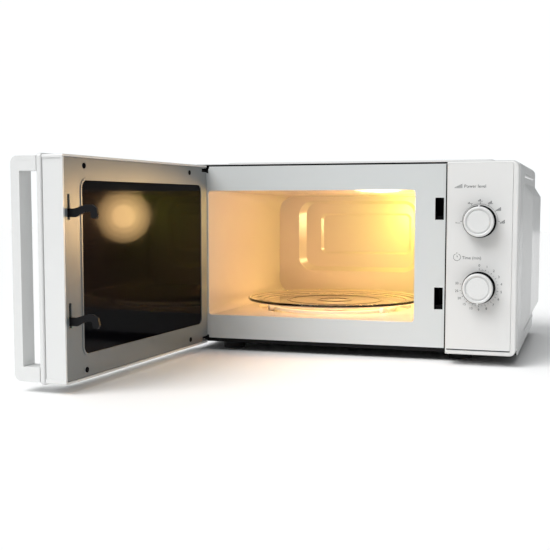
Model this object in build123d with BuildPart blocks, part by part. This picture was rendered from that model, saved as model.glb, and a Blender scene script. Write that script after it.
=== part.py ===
"""Countertop microwave oven with a side-hung door standing open, in millimetres.

+X is to the right seen from the front, +Y towards the back and +Z up. The origin is under the
middle of the case front, on the surface that the feet stand on.
"""
import os
from math import atan2, cos, degrees, radians, sin

from build123d import *

os.makedirs("parts", exist_ok=True)

# ---- driving dimensions ----------------------------------------------------------------
# case
case_width = 440.0
case_depth = 320.0
case_height = 243.0
foot_height = 12.0
foot_diameter = 35.0
sheet = 1.0
case_corner = 10.0
swell_height = 9.7
lid_emboss = 3.5

# cooking cavity
opening_width = 284.0
opening_sill = 37.0
opening_header = 36.0
opening_margin = 25.0
opening_corner = 4.0
cavity_depth = 288.0
side_draft = 11.0
floor_rise = 5.5
ceiling_drop = 6.0
cavity_corner = 24.0
wall_pressing = 6.0
inner_pressing = 2.0

# turntable
tray_diameter = 255.0
tray_thickness = 3.5
tray_rim = 8.5
pan_diameter = 224.0
pan_depth = 4.5
roller_diameter = 12.0
roller_width = 7.0
roller_circle = 191.0
ring_width = 7.0
ring_height = 4.0
axle_diameter = 4.0
shaft_diameter = 7.0
hub_diameter = 24.0

# door
door_gap = 3.0
door_side_gap = 3.2
door_thickness = 26.4
cover_thickness = 6.4
door_wall = 2.5
end_recess = 1.3
door_open_angle = 93.5
plate_thickness = 1.5
window_corner = 9.0
window_bead = 0.8
glass_thickness = 2.0
hinge_setback_x = 14.2
hinge_setback_y = 13.2
hinge_sheet = 2.0
hinge_arm_width = 10.0
pin_diameter = 5.0
pin_length = 12.0
bush_diameter = 9.0

# handle
handle_width = 21.0
handle_reach = 32.0
handle_grip = 11.0
handle_shell = 5.4
handle_arm = 16.0
handle_wall = 2.2
handle_corner = 8.0

# latch
hook_thickness = 3.2
hook_reach = 36.0
hook_spacing = 114.4
latch_travel = 6.0
slot_width = 11.0
slot_height = 22.0 + latch_travel

# control panel
panel_width = 86.3
panel_depth = 30.0
panel_wall = 2.5
fascia_thickness = 2.0
knob_diameter = 40.0
knob_height = 17.0
knob_cap_diameter = 28.5
knob_spacing = 81.3
stem_diameter = 6.0

# units in the right-hand bay
guide_reach = 36.0
guide_width = 86.0
guide_height = 88.0
magnetron_width = 92.0
magnetron_height = 78.0
magnetron_depth = 52.0
tube_diameter = 38.0
fin_count = 7
fin_pitch = 4.6
core_width = 96.0
core_height = 80.0
core_depth = 56.0
capacitor_width = 54.0
capacitor_height = 34.0
capacitor_length = 84.0
fan_diameter = 76.0
blade_count = 5
lead_bore = 3.6
foot_screw_diameter = 4.4
vent_columns = 12
vent_rows = 6

# clearances
running = 0.05
loose = 0.3
contact_gap = 0.15

# ---- places worked out from them -------------------------------------------------------
half_width = case_width / 2
case_bottom = foot_height
case_top = case_bottom + case_height
back_y = case_depth - 2.0

opening_left = -half_width + opening_margin
opening_right = opening_left + opening_width
opening_bottom = case_bottom + opening_sill
opening_top = case_top - opening_header
frame_left = -half_width + sheet + 0.4
frame_bottom = case_bottom + 5.0
frame_top = case_top - 3.2
shell = sheet

tray_x = (opening_left + opening_right) / 2
tray_y = cavity_depth / 2 - 1.0
pan_floor = opening_bottom - pan_depth
roller_z = pan_floor + contact_gap + roller_diameter / 2
tray_bottom = roller_z + roller_diameter / 2 + contact_gap
tray_radius = tray_diameter / 2

panel_left = half_width - panel_width
panel_bottom = case_bottom + 2.4
panel_top = case_top - 2.2
knob_x = panel_left + 40.8
power_z = opening_top - 39.3
timer_z = power_z - knob_spacing
fascia_front = -panel_depth - 0.6

door_left = -half_width + 2.5
door_right = panel_left - door_side_gap
door_bottom = case_bottom - 1.0
door_top = case_top - 2.0
cover_outer = door_thickness + cover_thickness
handle_outer_depth = cover_outer + handle_reach
hinge_x = -half_width + hinge_setback_x
hinge_y = -hinge_setback_y
latch_x = door_right - 10.0
upper_hook_z = opening_top - 27.0
lower_hook_z = upper_hook_z - hook_spacing
hook_heights = (lower_hook_z, upper_hook_z)

plate_left = door_left + 4.0
plate_right = door_right - door_wall - 0.3
plate_bottom = door_bottom + door_wall + 0.5
plate_top = door_top - door_wall - 0.5
window_left = door_left + 22.5
window_right = door_right - 35.0
window_bottom = door_bottom + 28.0
window_top = door_top - 26.5
door_screw_spots = [
    (x, z)
    for x in (door_left + 55.5, door_right - 40.5)
    for z in (door_bottom + 10.5, door_top - 11.0)
]
upper_arm_z = plate_top - 4.5
lower_arm_z = plate_bottom + 3.0

wall_lean = degrees(atan2(side_draft, cavity_depth))
guide_y = 190.0
guide_z = (opening_bottom + opening_top) / 2 + 13.0
room_x = opening_right + 3.0
core_x = room_x + 68.0
fan_x = half_width - 50.0
fan_z = case_top - 93.0
gland_x = half_width - 28.0
gland_z = case_bottom + 45.0
foot_spots = [
    (x, y)
    for x in (-half_width + 49.0, half_width - 75.0)
    for y in (36.0, case_depth - 45.0)
]


# ---- planes and helpers ----------------------------------------------------------------
def facing_front(y):
    """Plane across the oven at y: sketches in (x, z), extrudes towards the front."""
    return Plane(origin=(0, y, 0), x_dir=(1, 0, 0), z_dir=(0, -1, 0))


def facing_right(x):
    """Plane along the oven at x: sketches in (y, z), extrudes to the right."""
    return Plane(origin=(x, 0, 0), x_dir=(0, 1, 0), z_dir=(1, 0, 0))


def swung(plane):
    """The same plane carried round by the open door."""
    pivot = Vector(hinge_x, hinge_y, 0)
    origin = (plane.origin - pivot).rotate(Axis.Z, -door_open_angle) + pivot
    x_dir = plane.x_dir.rotate(Axis.Z, -door_open_angle)
    return Plane(origin=origin, x_dir=x_dir, z_dir=plane.z_dir.rotate(Axis.Z, -door_open_angle))


def on_door(depth):
    """Plane of the open door, depth outwards from its inner face, in closed-door (x, z)."""
    return swung(facing_front(-door_gap - depth))


def across_door(x):
    """Upright plane square to the open door at closed-door x: sketches in (inwards, z)."""
    return swung(Plane(origin=(x, -door_gap, 0), x_dir=(0, 1, 0), z_dir=(1, 0, 0)))


def above_door(z):
    """Level plane of the open door at height z: sketches in closed-door (x, y)."""
    return swung(Plane(origin=(0, 0, z), x_dir=(1, 0, 0), z_dir=(0, 0, 1)))


def side_wall(offset):
    """Plane of the cavity's leaning right wall, offset into the cavity: sketches in (-y, z)."""
    wall_x = opening_right - side_draft * guide_y / cavity_depth
    inwards = Vector(-cos(radians(wall_lean)), -sin(radians(wall_lean)), 0)
    origin = Vector(wall_x, guide_y, guide_z) + inwards * offset
    along = Vector(sin(radians(wall_lean)), -cos(radians(wall_lean)), 0)
    return Plane(origin=origin, x_dir=along, z_dir=inwards)


def span(x0, x1, z0, z1, corner=0.0, mode=Mode.ADD):
    """Rectangle between two x and two z values, with rounded corners where asked."""
    with Locations(((x0 + x1) / 2, (z0 + z1) / 2)):
        if corner:
            RectangleRounded(x1 - x0, z1 - z0, corner, mode=mode)
        else:
            Rectangle(x1 - x0, z1 - z0, mode=mode)


def swell(plane, outline, run, height, corner, far_corner, mode=Mode.ADD):
    """Tapered pad on a plane: its outline (x0, x1, z0, z1) shrinks by run over its height."""
    x0, x1, z0, z1 = outline
    with BuildSketch(plane) as near:
        span(x0, x1, z0, z1, corner)
    with BuildSketch(plane.offset(height)) as far:
        span(x0 + run[0], x1 - run[1], z0 + run[2], z1 - run[3], far_corner)
    loft(sections=[near.sketch.face(), far.sketch.face()], mode=mode)


def pressed(plane, outline, run, height, corner, far_corner):
    """Pad pressed out of a sheet: raised on the plane's side and hollow behind."""
    swell(plane, outline, run, height, corner, far_corner)
    swell(plane.offset(-sheet), outline, run, height, corner, far_corner, Mode.SUBTRACT)


def save(piece, name):
    """Label a finished piece and write its STEP file."""
    piece.part.label = name
    export_step(piece.part, f"parts/{name}.step")


# ---- case ------------------------------------------------------------------------------
with BuildPart() as outer_case:
    with BuildSketch(facing_front(case_depth)):
        span(-half_width, half_width, case_bottom, case_top, case_corner)
        span(-half_width, half_width, case_bottom, case_bottom + case_corner)
        inner_half = half_width - sheet
        span(-inner_half, inner_half, case_bottom, case_top - sheet, case_corner - sheet, Mode.SUBTRACT)
        span(-inner_half, inner_half, case_bottom - sheet, case_bottom + case_corner, mode=Mode.SUBTRACT)
    extrude(amount=case_depth)
    # swollen sides with an upper groove line and a low step line, and a raised lid
    right_side = facing_right(half_width)
    left_side = Plane(origin=(-half_width, 0, 0), x_dir=(0, -1, 0), z_dir=(-1, 0, 0))
    swell_front, swell_back = 61.0, case_depth - 3.0
    swell_low, swell_high = case_bottom + 22.0, case_top - 28.0
    front_run, back_run = 35.0, 12.0
    pressed(right_side, (swell_front, swell_back, swell_low, swell_high),
            (front_run, back_run, 18.0, 15.0), swell_height, 12.0, 8.0)
    pressed(left_side, (-swell_back, -swell_front, swell_low, swell_high),
            (back_run, front_run, 18.0, 15.0), swell_height, 12.0, 8.0)
    bead_run = (1.5, 1.5, 1.5, 1.5)
    for low, high, start, end in (
        (case_top - 19.5, case_top - 14.5, 72.0, 256.0),
        (case_bottom + 12.5, case_bottom + 18.5, 125.0, case_depth - 8.0),
    ):
        swell(right_side, (start, end, low, high), bead_run, 1.2, 2.0, 0.6)
        swell(left_side, (-end, -start, low, high), bead_run, 1.2, 2.0, 0.6)
    lid_outline = (-half_width + 32.0, half_width - 32.0, 34.0, case_depth - 18.0)
    pressed(Plane.XY.offset(case_top), lid_outline, (7.0, 7.0, 7.0, 7.0), lid_emboss, 14.0, 9.0)
save(outer_case, "outer_case")

base_inner = half_width - sheet - 0.2
tab_inset = (-half_width + 6.0, -half_width + 24.0)
with BuildPart() as base_plate:
    with BuildSketch(Plane.XY.offset(case_bottom)):
        span(-base_inner, base_inner, sheet + 0.2, back_y)
        with Locations(foot_spots):
            Circle(foot_screw_diameter / 2, mode=Mode.SUBTRACT)
        with Locations((core_x - 4.0, 50.0), (core_x - 4.0, 235.0)):
            with GridLocations(9.0, 0, 9, 1):
                SlotOverall(26.0, 4.0, rotation=90, mode=Mode.SUBTRACT)
    extrude(amount=sheet)
    with BuildSketch(Plane.XY.offset(case_bottom + sheet)):
        span(-base_inner, base_inner, sheet + 0.2, 2 * sheet + 0.2)
    extrude(amount=frame_bottom - 0.2 - case_bottom - sheet)
    with BuildSketch(Plane.XY.offset(case_bottom + sheet)):
        span(tab_inset[1] + 2.0, base_inner, sheet + 0.2, 2 * sheet + 0.2)
    extrude(amount=frame_bottom + 6.0 - case_bottom - sheet)
save(base_plate, "base_plate")

with BuildPart() as front_frame:
    with BuildSketch(facing_front(sheet)):
        span(frame_left, -frame_left, frame_bottom, frame_top, case_corner - 2.0)
        span(frame_left, -frame_left, frame_bottom, frame_bottom + case_corner)
        span(opening_left, opening_right, opening_bottom, opening_top, opening_corner, Mode.SUBTRACT)
        for hook_z in hook_heights:
            span(latch_x - slot_width / 2, latch_x + slot_width / 2,
                 hook_z - 11.0, hook_z - 11.0 + slot_height, mode=Mode.SUBTRACT)
        for arm_z in (lower_arm_z, upper_arm_z):
            span(tab_inset[0] - 1.0, tab_inset[1] + 1.0, arm_z - 2.5, arm_z + 4.0, mode=Mode.SUBTRACT)
        span(knob_x - 31.0, knob_x + 31.0, timer_z - 38.0, power_z + 38.0, 4.0, Mode.SUBTRACT)
        # corner cut away round the upper hinge arm
        with BuildLine():
            Polyline(
                (frame_left - 1.0, upper_arm_z - 2.5), (hinge_x + 5.0, upper_arm_z - 2.5),
                (hinge_x + 12.0, upper_arm_z + 4.0), (hinge_x + 12.0, frame_top + 1.0),
                (frame_left - 1.0, frame_top + 1.0), close=True,
            )
        make_face(mode=Mode.SUBTRACT)
    extrude(amount=sheet)
save(front_frame, "front_frame")

with BuildPart() as back_panel:
    with BuildSketch(facing_front(case_depth)):
        span(-base_inner, base_inner, case_bottom + sheet, case_top - sheet - 0.5, case_corner - sheet)
        span(-base_inner, base_inner, case_bottom + sheet, case_bottom + sheet + case_corner)
        with Locations((fan_x, fan_z)):
            with GridLocations(6.0, 12.0, vent_columns, vent_rows):
                SlotOverall(9.0, 3.2, rotation=90, mode=Mode.SUBTRACT)
        with Locations((-half_width + 110.0, case_top - 45.0)):
            with GridLocations(7.0, 0, 16, 1):
                SlotOverall(22.0, 3.2, rotation=90, mode=Mode.SUBTRACT)
        with Locations((gland_x, gland_z)):
            Circle(7.0 + loose, mode=Mode.SUBTRACT)
    extrude(amount=sheet)
    with BuildSketch(facing_front(case_depth - sheet)):
        span(-base_inner, base_inner, case_bottom + sheet, case_bottom + sheet + 10.0)
    extrude(amount=sheet)
save(back_panel, "back_panel")

with BuildPart() as feet:
    with BuildSketch() as foot_circles:
        with Locations(foot_spots):
            Circle(foot_diameter / 2 - 3.0)
    extrude(amount=foot_height, taper=-8)
    with BuildSketch(Plane.XY.offset(foot_height - 5.0)):
        with Locations(foot_spots):
            Circle(foot_screw_diameter / 2)
    extrude(amount=5.0, mode=Mode.SUBTRACT)
save(feet, "feet")

with BuildPart() as foot_screws:
    with BuildSketch(Plane.XY.offset(foot_height - 5.0)):
        with Locations(foot_spots):
            Circle(foot_screw_diameter / 2 - running)
    extrude(amount=5.0 + sheet)
    with BuildSketch(Plane.XY.offset(case_bottom + sheet)):
        with Locations(foot_spots):
            Circle(4.0)
    extrude(amount=1.8)
save(foot_screws, "foot_screws")

# ---- cooking cavity --------------------------------------------------------------------
mouth = (opening_left, opening_right, opening_bottom, opening_top)
rear = (opening_left + side_draft, opening_right - side_draft,
        opening_bottom + floor_rise, opening_top - ceiling_drop)
with BuildPart() as oven_cavity:
    with BuildSketch(facing_front(sheet)):
        span(mouth[0] - shell, mouth[1] + shell, mouth[2] - shell, mouth[3] + shell, opening_corner + shell)
    with BuildSketch(facing_front(cavity_depth + shell)):
        span(rear[0] - shell, rear[1] + shell, rear[2] - shell, rear[3] + shell, cavity_corner + shell)
    loft()
    with BuildSketch(facing_front(2 * sheet)):
        span(mouth[0] - 7.0, mouth[1] + 7.0, mouth[2] - 7.0, mouth[3] + 7.0, opening_corner)
    extrude(amount=sheet)
    # well for the turntable, below the cavity floor
    with BuildSketch(Plane.XY.offset(pan_floor - shell)):
        with Locations((tray_x, tray_y)):
            Circle(pan_diameter / 2 + shell)
    extrude(amount=pan_depth + floor_rise + shell)
    with BuildSketch(facing_front(sheet)):
        span(*mouth, opening_corner)
    with BuildSketch(facing_front(cavity_depth)):
        span(*rear, cavity_corner)
    loft(mode=Mode.SUBTRACT)
    with BuildSketch(Plane.XY.offset(pan_floor)):
        with Locations((tray_x, tray_y)):
            Circle(pan_diameter / 2)
    extrude(amount=pan_depth + floor_rise + shell, mode=Mode.SUBTRACT)
    # nested pans pressed back into the rear wall
    back_wall = Plane(origin=(0, cavity_depth + shell, 0), x_dir=(-1, 0, 0), z_dir=(0, 1, 0))
    middle_z = (rear[2] + rear[3]) / 2
    pressed(back_wall, (33.0 - rear[1], -rear[0] - 33.0, rear[2] + 38.0, rear[3] - 7.0),
            (8.0, 11.0, 7.0, 5.0), wall_pressing, 24.0, 16.0)
    pressed(back_wall.offset(wall_pressing),
            (45.0 - rear[1], -rear[0] - 69.0, middle_z - 13.0, middle_z + 52.0),
            (4.0, 4.0, 3.0, 3.0), inner_pressing, 9.0, 7.0)
    # shaft hole, wave inlet, lamp holes and air holes
    with BuildSketch(Plane.XY.offset(pan_floor - shell)):
        with Locations((tray_x, tray_y)):
            Circle(shaft_diameter / 2 + 2.5)
    extrude(amount=shell, mode=Mode.SUBTRACT)
    with BuildSketch(side_wall(2.0)):
        Rectangle(guide_width - 22.0, guide_height - 22.0)
    extrude(amount=-5.0, mode=Mode.SUBTRACT)
    with BuildSketch(side_wall(2.0)):
        with Locations((84.0, 30.0)):
            with GridLocations(7.0, 7.0, 6, 4):
                Circle(1.6)
        with Locations((84.0, -20.0)):
            with GridLocations(7.0, 7.0, 8, 5):
                Circle(1.6)
    extrude(amount=-5.0, mode=Mode.SUBTRACT)
save(oven_cavity, "oven_cavity")

with BuildPart() as waveguide_cover:
    with BuildSketch(side_wall(0.05)):
        RectangleRounded(guide_width - 4.0, guide_height - 4.0, 4.0)
    extrude(amount=0.6)
save(waveguide_cover, "waveguide_cover")

with BuildPart() as waveguide:
    with BuildSketch(side_wall(-shell - 0.05)):
        Rectangle(guide_width, guide_height)
    extrude(amount=-guide_reach)
    with BuildSketch(side_wall(-shell - 0.05)):
        Rectangle(guide_width - 2 * sheet, guide_height - 2 * sheet)
    extrude(amount=-guide_reach + sheet, mode=Mode.SUBTRACT)
    with BuildSketch(side_wall(-shell - guide_reach - 1.0)):
        Circle(12.0)
    extrude(amount=3.0, both=True, mode=Mode.SUBTRACT)
save(waveguide, "waveguide")

# ---- magnetron, on the waveguide's outer wall -------------------------------------------
tube_seat = -shell - 0.05 - guide_reach
with BuildPart() as magnetron_yoke:
    with BuildSketch(side_wall(tube_seat)):
        Rectangle(magnetron_width, magnetron_height)
    extrude(amount=-magnetron_depth)
    with BuildSketch(side_wall(tube_seat - 1.5)):
        Rectangle(magnetron_width + 2.0, magnetron_height - 3.0)
    extrude(amount=3.0 - magnetron_depth, mode=Mode.SUBTRACT)
    with BuildSketch(side_wall(tube_seat + 1.0)):
        Circle(tube_diameter / 2 + 1.0)
    extrude(amount=-magnetron_depth - 2.0, mode=Mode.SUBTRACT)
save(magnetron_yoke, "magnetron_yoke")

with BuildPart() as magnetron_tube:
    with BuildSketch(side_wall(tube_seat + 22.0)):
        Circle(7.5)
    extrude(amount=-22.0)
    with BuildSketch(side_wall(tube_seat)):
        Circle(10.0)
    extrude(amount=-9.0)
    with BuildSketch(side_wall(tube_seat - 9.0)):
        Circle(tube_diameter / 2)
    extrude(amount=-34.0)
    with BuildSketch(side_wall(tube_seat - 43.0)):
        Circle(14.0)
    extrude(amount=-18.0)
save(magnetron_tube, "magnetron_tube")

with BuildPart() as magnetron_fins:
    for fin in range(fin_count):
        with BuildSketch(side_wall(tube_seat - 11.0 - fin * fin_pitch)):
            RectangleRounded(magnetron_width - 12.0, magnetron_height - 6.0, 3.0)
            Circle(tube_diameter / 2, mode=Mode.SUBTRACT)
        extrude(amount=-0.6)
save(magnetron_fins, "magnetron_fins")

with BuildPart() as thermal_cutout:
    with BuildSketch(side_wall(tube_seat - magnetron_depth)):
        with Locations((32.0, 26.0)):
            Circle(8.0)
    extrude(amount=-6.0)
    with BuildSketch(side_wall(tube_seat - magnetron_depth - 6.0)):
        with Locations((32.0, 26.0)):
            with GridLocations(7.0, 0, 2, 1):
                Rectangle(0.8, 4.5)
    extrude(amount=-8.0)
save(thermal_cutout, "thermal_cutout")

# ---- high-voltage supply, on the base plate ---------------------------------------------
supply_y = 118.0
core_floor = case_bottom + sheet
with BuildPart() as transformer_core:
    with BuildSketch(facing_front(supply_y + core_depth / 2)):
        span(core_x - core_width / 2, core_x + core_width / 2, core_floor, core_floor + core_height)
        for side in (-24.0, 24.0):
            span(core_x + side - 8.0, core_x + side + 8.0,
                 core_floor + 16.0, core_floor + core_height - 16.0, mode=Mode.SUBTRACT)
    extrude(amount=core_depth)
save(transformer_core, "transformer_core")

with BuildPart() as transformer_windings:
    for low, high in ((core_floor + 16.5, core_floor + core_height / 2 - 2.0),
                      (core_floor + core_height / 2 + 1.0, core_floor + core_height - 16.5)):
        with BuildSketch(Plane.XY.offset(low)):
            with Locations((core_x, supply_y)):
                RectangleRounded(62.0, 88.0, 10.0)
                Rectangle(32.4, core_depth + 0.4, mode=Mode.SUBTRACT)
        extrude(amount=high - low)
save(transformer_windings, "transformer_windings")

capacitor_x = core_x + 14.0
capacitor_y = supply_y + 100.0
capacitor_z = core_floor + 18.5
with BuildPart() as hv_capacitor:
    with BuildSketch(facing_front(capacitor_y + capacitor_length / 2)):
        with Locations((capacitor_x, capacitor_z)):
            SlotOverall(capacitor_width, capacitor_height)
    extrude(amount=capacitor_length)
    with BuildSketch(facing_front(capacitor_y - capacitor_length / 2)):
        with Locations((capacitor_x, capacitor_z)):
            with GridLocations(22.0, 0, 2, 1):
                Rectangle(6.3, 0.8)
    extrude(amount=9.0)
save(hv_capacitor, "hv_capacitor")

with BuildPart() as capacitor_clamp:
    with BuildSketch(facing_front(capacitor_y + 8.0)):
        with Locations((capacitor_x, capacitor_z)):
            SlotOverall(capacitor_width + 2.4, capacitor_height + 2.4)
        span(capacitor_x - 40.0, capacitor_x + 40.0, core_floor, core_floor + sheet)
        with Locations((capacitor_x, capacitor_z)):
            SlotOverall(capacitor_width + 0.2, capacitor_height + 0.2, mode=Mode.SUBTRACT)
    extrude(amount=16.0)
save(capacitor_clamp, "capacitor_clamp")

with BuildPart() as hv_diode:
    with BuildSketch(facing_front(capacitor_y - 20.0)):
        with Locations((capacitor_x - 38.0, core_floor + 4.0)):
            Circle(3.8)
    extrude(amount=22.0)
    with BuildSketch(facing_front(capacitor_y - 12.0)):
        with Locations((capacitor_x - 38.0, core_floor + 4.0)):
            Circle(1.2)
    extrude(amount=38.0)
save(hv_diode, "hv_diode")

# ---- fan, behind the magnetron ----------------------------------------------------------
shroud_y = case_depth - 2 * sheet - 0.2
shroud_depth = 22.0
with BuildPart() as fan_shroud:
    with BuildSketch(facing_front(shroud_y)):
        with Locations((fan_x, fan_z)):
            RectangleRounded(fan_diameter + 22.0, fan_diameter + 22.0, 8.0)
            Circle(fan_diameter / 2 + 3.0, mode=Mode.SUBTRACT)
    extrude(amount=shroud_depth)
    with BuildSketch(facing_front(shroud_y)):
        with Locations((fan_x, fan_z)):
            RectangleRounded(fan_diameter + 17.0, fan_diameter + 17.0, 6.0)
            Circle(fan_diameter / 2 + 5.5, mode=Mode.SUBTRACT)
    extrude(amount=shroud_depth - 3.0, mode=Mode.SUBTRACT)
    # three arms that carry the motor ahead of the ring
    with BuildSketch(facing_front(shroud_y - shroud_depth)):
        with Locations((fan_x, fan_z)):
            Rectangle(fan_diameter + 14.0, 9.0)
            Circle(6.0)
            Circle(4.0, mode=Mode.SUBTRACT)
    extrude(amount=3.0)
save(fan_shroud, "fan_shroud")

motor_back = shroud_y - shroud_depth - 3.0
with BuildPart() as fan_motor:
    with BuildSketch(facing_front(motor_back)):
        with Locations((fan_x, fan_z)):
            Rectangle(50.0, 42.0)
            Circle(1.6 + running, mode=Mode.SUBTRACT)
    extrude(amount=14.0)
    with BuildSketch(facing_front(motor_back - 14.0)):
        with Locations((fan_x, fan_z - 10.0)):
            RectangleRounded(30.0, 20.0, 4.0)
    extrude(amount=10.0)
save(fan_motor, "fan_motor")

with BuildPart() as fan_blade:
    with BuildSketch(facing_front(shroud_y - 3.0)):
        with Locations((fan_x, fan_z)):
            Circle(11.0)
    extrude(amount=14.0)
    with BuildSketch(facing_front(shroud_y - 17.0)):
        with Locations((fan_x, fan_z)):
            Circle(1.6)
    extrude(amount=shroud_y - 17.0 - (motor_back - 12.0))
    for blade in range(blade_count):
        turn = radians(blade * 360.0 / blade_count)
        root = Plane(
            origin=(fan_x + 9.5 * cos(turn), shroud_y - 10.0, fan_z + 9.5 * sin(turn)),
            x_dir=(-sin(turn), 0.6, cos(turn)),
            z_dir=(cos(turn), 0, sin(turn)),
        )
        with BuildSketch(root):
            RectangleRounded(12.0, 1.4, 0.6)
        with BuildSketch(root.offset(fan_diameter / 2 - 11.0)):
            RectangleRounded(20.0, 1.4, 0.6)
        loft()
save(fan_blade, "fan_blade")

# ---- lamp, noise filter, cord inlet -------------------------------------------------------
lamp_y = 86.0
with BuildPart() as lamp_holder:
    with BuildSketch(side_wall(-shell - 0.1)):
        with Locations((guide_y - lamp_y - 20.0, 30.0)):
            RectangleRounded(52.0, 36.0, 3.0)
    extrude(amount=-26.0)
    with BuildSketch(side_wall(-shell - 0.1)):
        with Locations((guide_y - lamp_y - 20.0, 30.0)):
            RectangleRounded(48.0, 32.0, 2.0)
    extrude(amount=-24.0, mode=Mode.SUBTRACT)
save(lamp_holder, "lamp_holder")

with BuildPart() as lamp_bulb:
    with BuildSketch(side_wall(-shell - 25.2 + 1.1)):
        with Locations((guide_y - lamp_y - 20.0, 30.0)):
            Circle(7.0)
    extrude(amount=8.0)
    with BuildSketch(side_wall(-shell - 16.1)):
        with Locations((guide_y - lamp_y - 20.0, 30.0)):
            Circle(9.0)
    extrude(amount=13.0)
    fillet(lamp_bulb.faces().sort_by(Axis.X)[0].edges(), 6.0)
save(lamp_bulb, "lamp_bulb")

board_z = case_top - 26.0
board_x = fan_x
board_y = back_y - 38.0
with BuildPart() as filter_board:
    with BuildSketch(Plane.XY.offset(board_z)):
        with Locations((board_x, board_y)):
            RectangleRounded(86.0, 66.0, 2.0)
    extrude(amount=1.6)
    with BuildSketch(Plane.XY.offset(board_z - 5.0)):
        with Locations((board_x, board_y)):
            with GridLocations(76.0, 56.0, 2, 2):
                Circle(3.0)
    extrude(amount=5.0)
    with BuildSketch(Plane.XY.offset(board_z + 1.6)):
        with Locations((board_x - 24.0, board_y)):
            Circle(12.0)
            Circle(5.5, mode=Mode.SUBTRACT)
        with Locations((board_x + 8.0, board_y + 16.0)):
            RectangleRounded(26.0, 14.0, 1.0)
        with Locations((board_x + 10.0, board_y - 12.0)):
            RectangleRounded(30.0, 7.0, 3.0)
    extrude(amount=13.0)
save(filter_board, "filter_board")

with BuildPart() as cord_gland:
    with BuildSketch(facing_front(case_depth + 3.0)):
        with Locations((gland_x, gland_z)):
            Circle(10.0)
            Circle(lead_bore, mode=Mode.SUBTRACT)
    extrude(amount=3.0)
    with BuildSketch(facing_front(case_depth)):
        with Locations((gland_x, gland_z)):
            Circle(7.0)
            Circle(lead_bore, mode=Mode.SUBTRACT)
    extrude(amount=9.0)
save(cord_gland, "cord_gland")

case_screw_spots = [(-half_width + 14.0, case_top - 30.0), (half_width - 14.0, case_top - 30.0),
                    (-half_width + 14.0, case_bottom + 60.0), (half_width - 14.0, case_bottom + 60.0),
                    (0.0, case_top - 9.0)]
with BuildPart() as case_screws:
    with BuildSketch(facing_front(case_depth + 2.2)):
        with Locations(case_screw_spots):
            Circle(4.2)
    extrude(amount=2.2)
    chamfer(case_screws.edges().filter_by(GeomType.CIRCLE).group_by(Axis.Y)[-1], 0.7)
save(case_screws, "case_screws")

# ---- turntable drive ---------------------------------------------------------------------
motor_top = pan_floor - shell
with BuildPart() as turntable_motor:
    with BuildSketch(Plane.XY.offset(motor_top - 17.0)):
        with Locations((tray_x, tray_y)):
            Circle(24.5)
    extrude(amount=15.0)
    with BuildSketch(Plane.XY.offset(motor_top - 2.0)):
        with Locations((tray_x, tray_y)):
            SlotOverall(66.0, 14.0)
    extrude(amount=2.0)
    with BuildSketch(Plane.XY.offset(motor_top - 12.0)):
        with Locations((tray_x, tray_y)):
            Circle(shaft_diameter / 2 + running)
    extrude(amount=12.0, mode=Mode.SUBTRACT)
save(turntable_motor, "turntable_motor")

coupler_top = tray_bottom - contact_gap
with BuildPart() as turntable_coupler:
    with BuildSketch(Plane.XY.offset(motor_top - 11.0)):
        with Locations((tray_x, tray_y)):
            Circle(shaft_diameter / 2)
    extrude(amount=pan_floor - motor_top + 11.0 + 1.5)
    with BuildSketch(Plane.XY.offset(pan_floor + 1.2)):
        with Locations((tray_x, tray_y)):
            Circle(hub_diameter / 2)
    extrude(amount=4.0)
    with BuildSketch(Plane.XY.offset(pan_floor + 5.2)):
        with Locations((tray_x, tray_y)):
            with PolarLocations(hub_diameter / 2 - 1.0, 3):
                Rectangle(12.0, 5.0)
            Circle(7.0)
    extrude(amount=coupler_top - pan_floor - 5.2)
save(turntable_coupler, "turntable_coupler")

ring_outer = (roller_circle - roller_width) / 2 - loose
ring_base = roller_z - ring_height / 2
with BuildPart() as roller_ring:
    with BuildSketch(Plane.XY.offset(ring_base)):
        with Locations((tray_x, tray_y)):
            Circle(ring_outer)
            Circle(ring_outer - ring_width, mode=Mode.SUBTRACT)
    extrude(amount=ring_height)
    for turn in range(3):
        angle = radians(90.0 + 120.0 * turn)
        outwards = Vector(cos(angle), sin(angle), 0)
        root = Vector(tray_x, tray_y, roller_z) + outwards * (ring_outer - 2.0)
        with BuildSketch(Plane(origin=root, x_dir=(-sin(angle), cos(angle), 0), z_dir=outwards)):
            Circle(axle_diameter / 2 - running)
        extrude(amount=roller_width + 2 * loose + 2.0)
        cap = Vector(tray_x, tray_y, roller_z) + outwards * (ring_outer + roller_width + 2 * loose)
        with BuildSketch(Plane(origin=cap, x_dir=(-sin(angle), cos(angle), 0), z_dir=outwards)):
            Circle(axle_diameter / 2 + 0.8)
        extrude(amount=1.2)
save(roller_ring, "roller_ring")

for turn in range(3):
    angle = radians(90.0 + 120.0 * turn)
    outwards = Vector(cos(angle), sin(angle), 0)
    start = Vector(tray_x, tray_y, roller_z) + outwards * (ring_outer + loose)
    with BuildPart() as roller:
        with BuildSketch(Plane(origin=start, x_dir=(-sin(angle), cos(angle), 0), z_dir=outwards)):
            Circle(roller_diameter / 2)
            Circle(axle_diameter / 2, mode=Mode.SUBTRACT)
        extrude(amount=roller_width)
        chamfer(roller.edges().filter_by(GeomType.CIRCLE).sort_by(SortBy.RADIUS)[-2:], 0.6)
    save(roller, f"roller_{turn + 1}")

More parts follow.
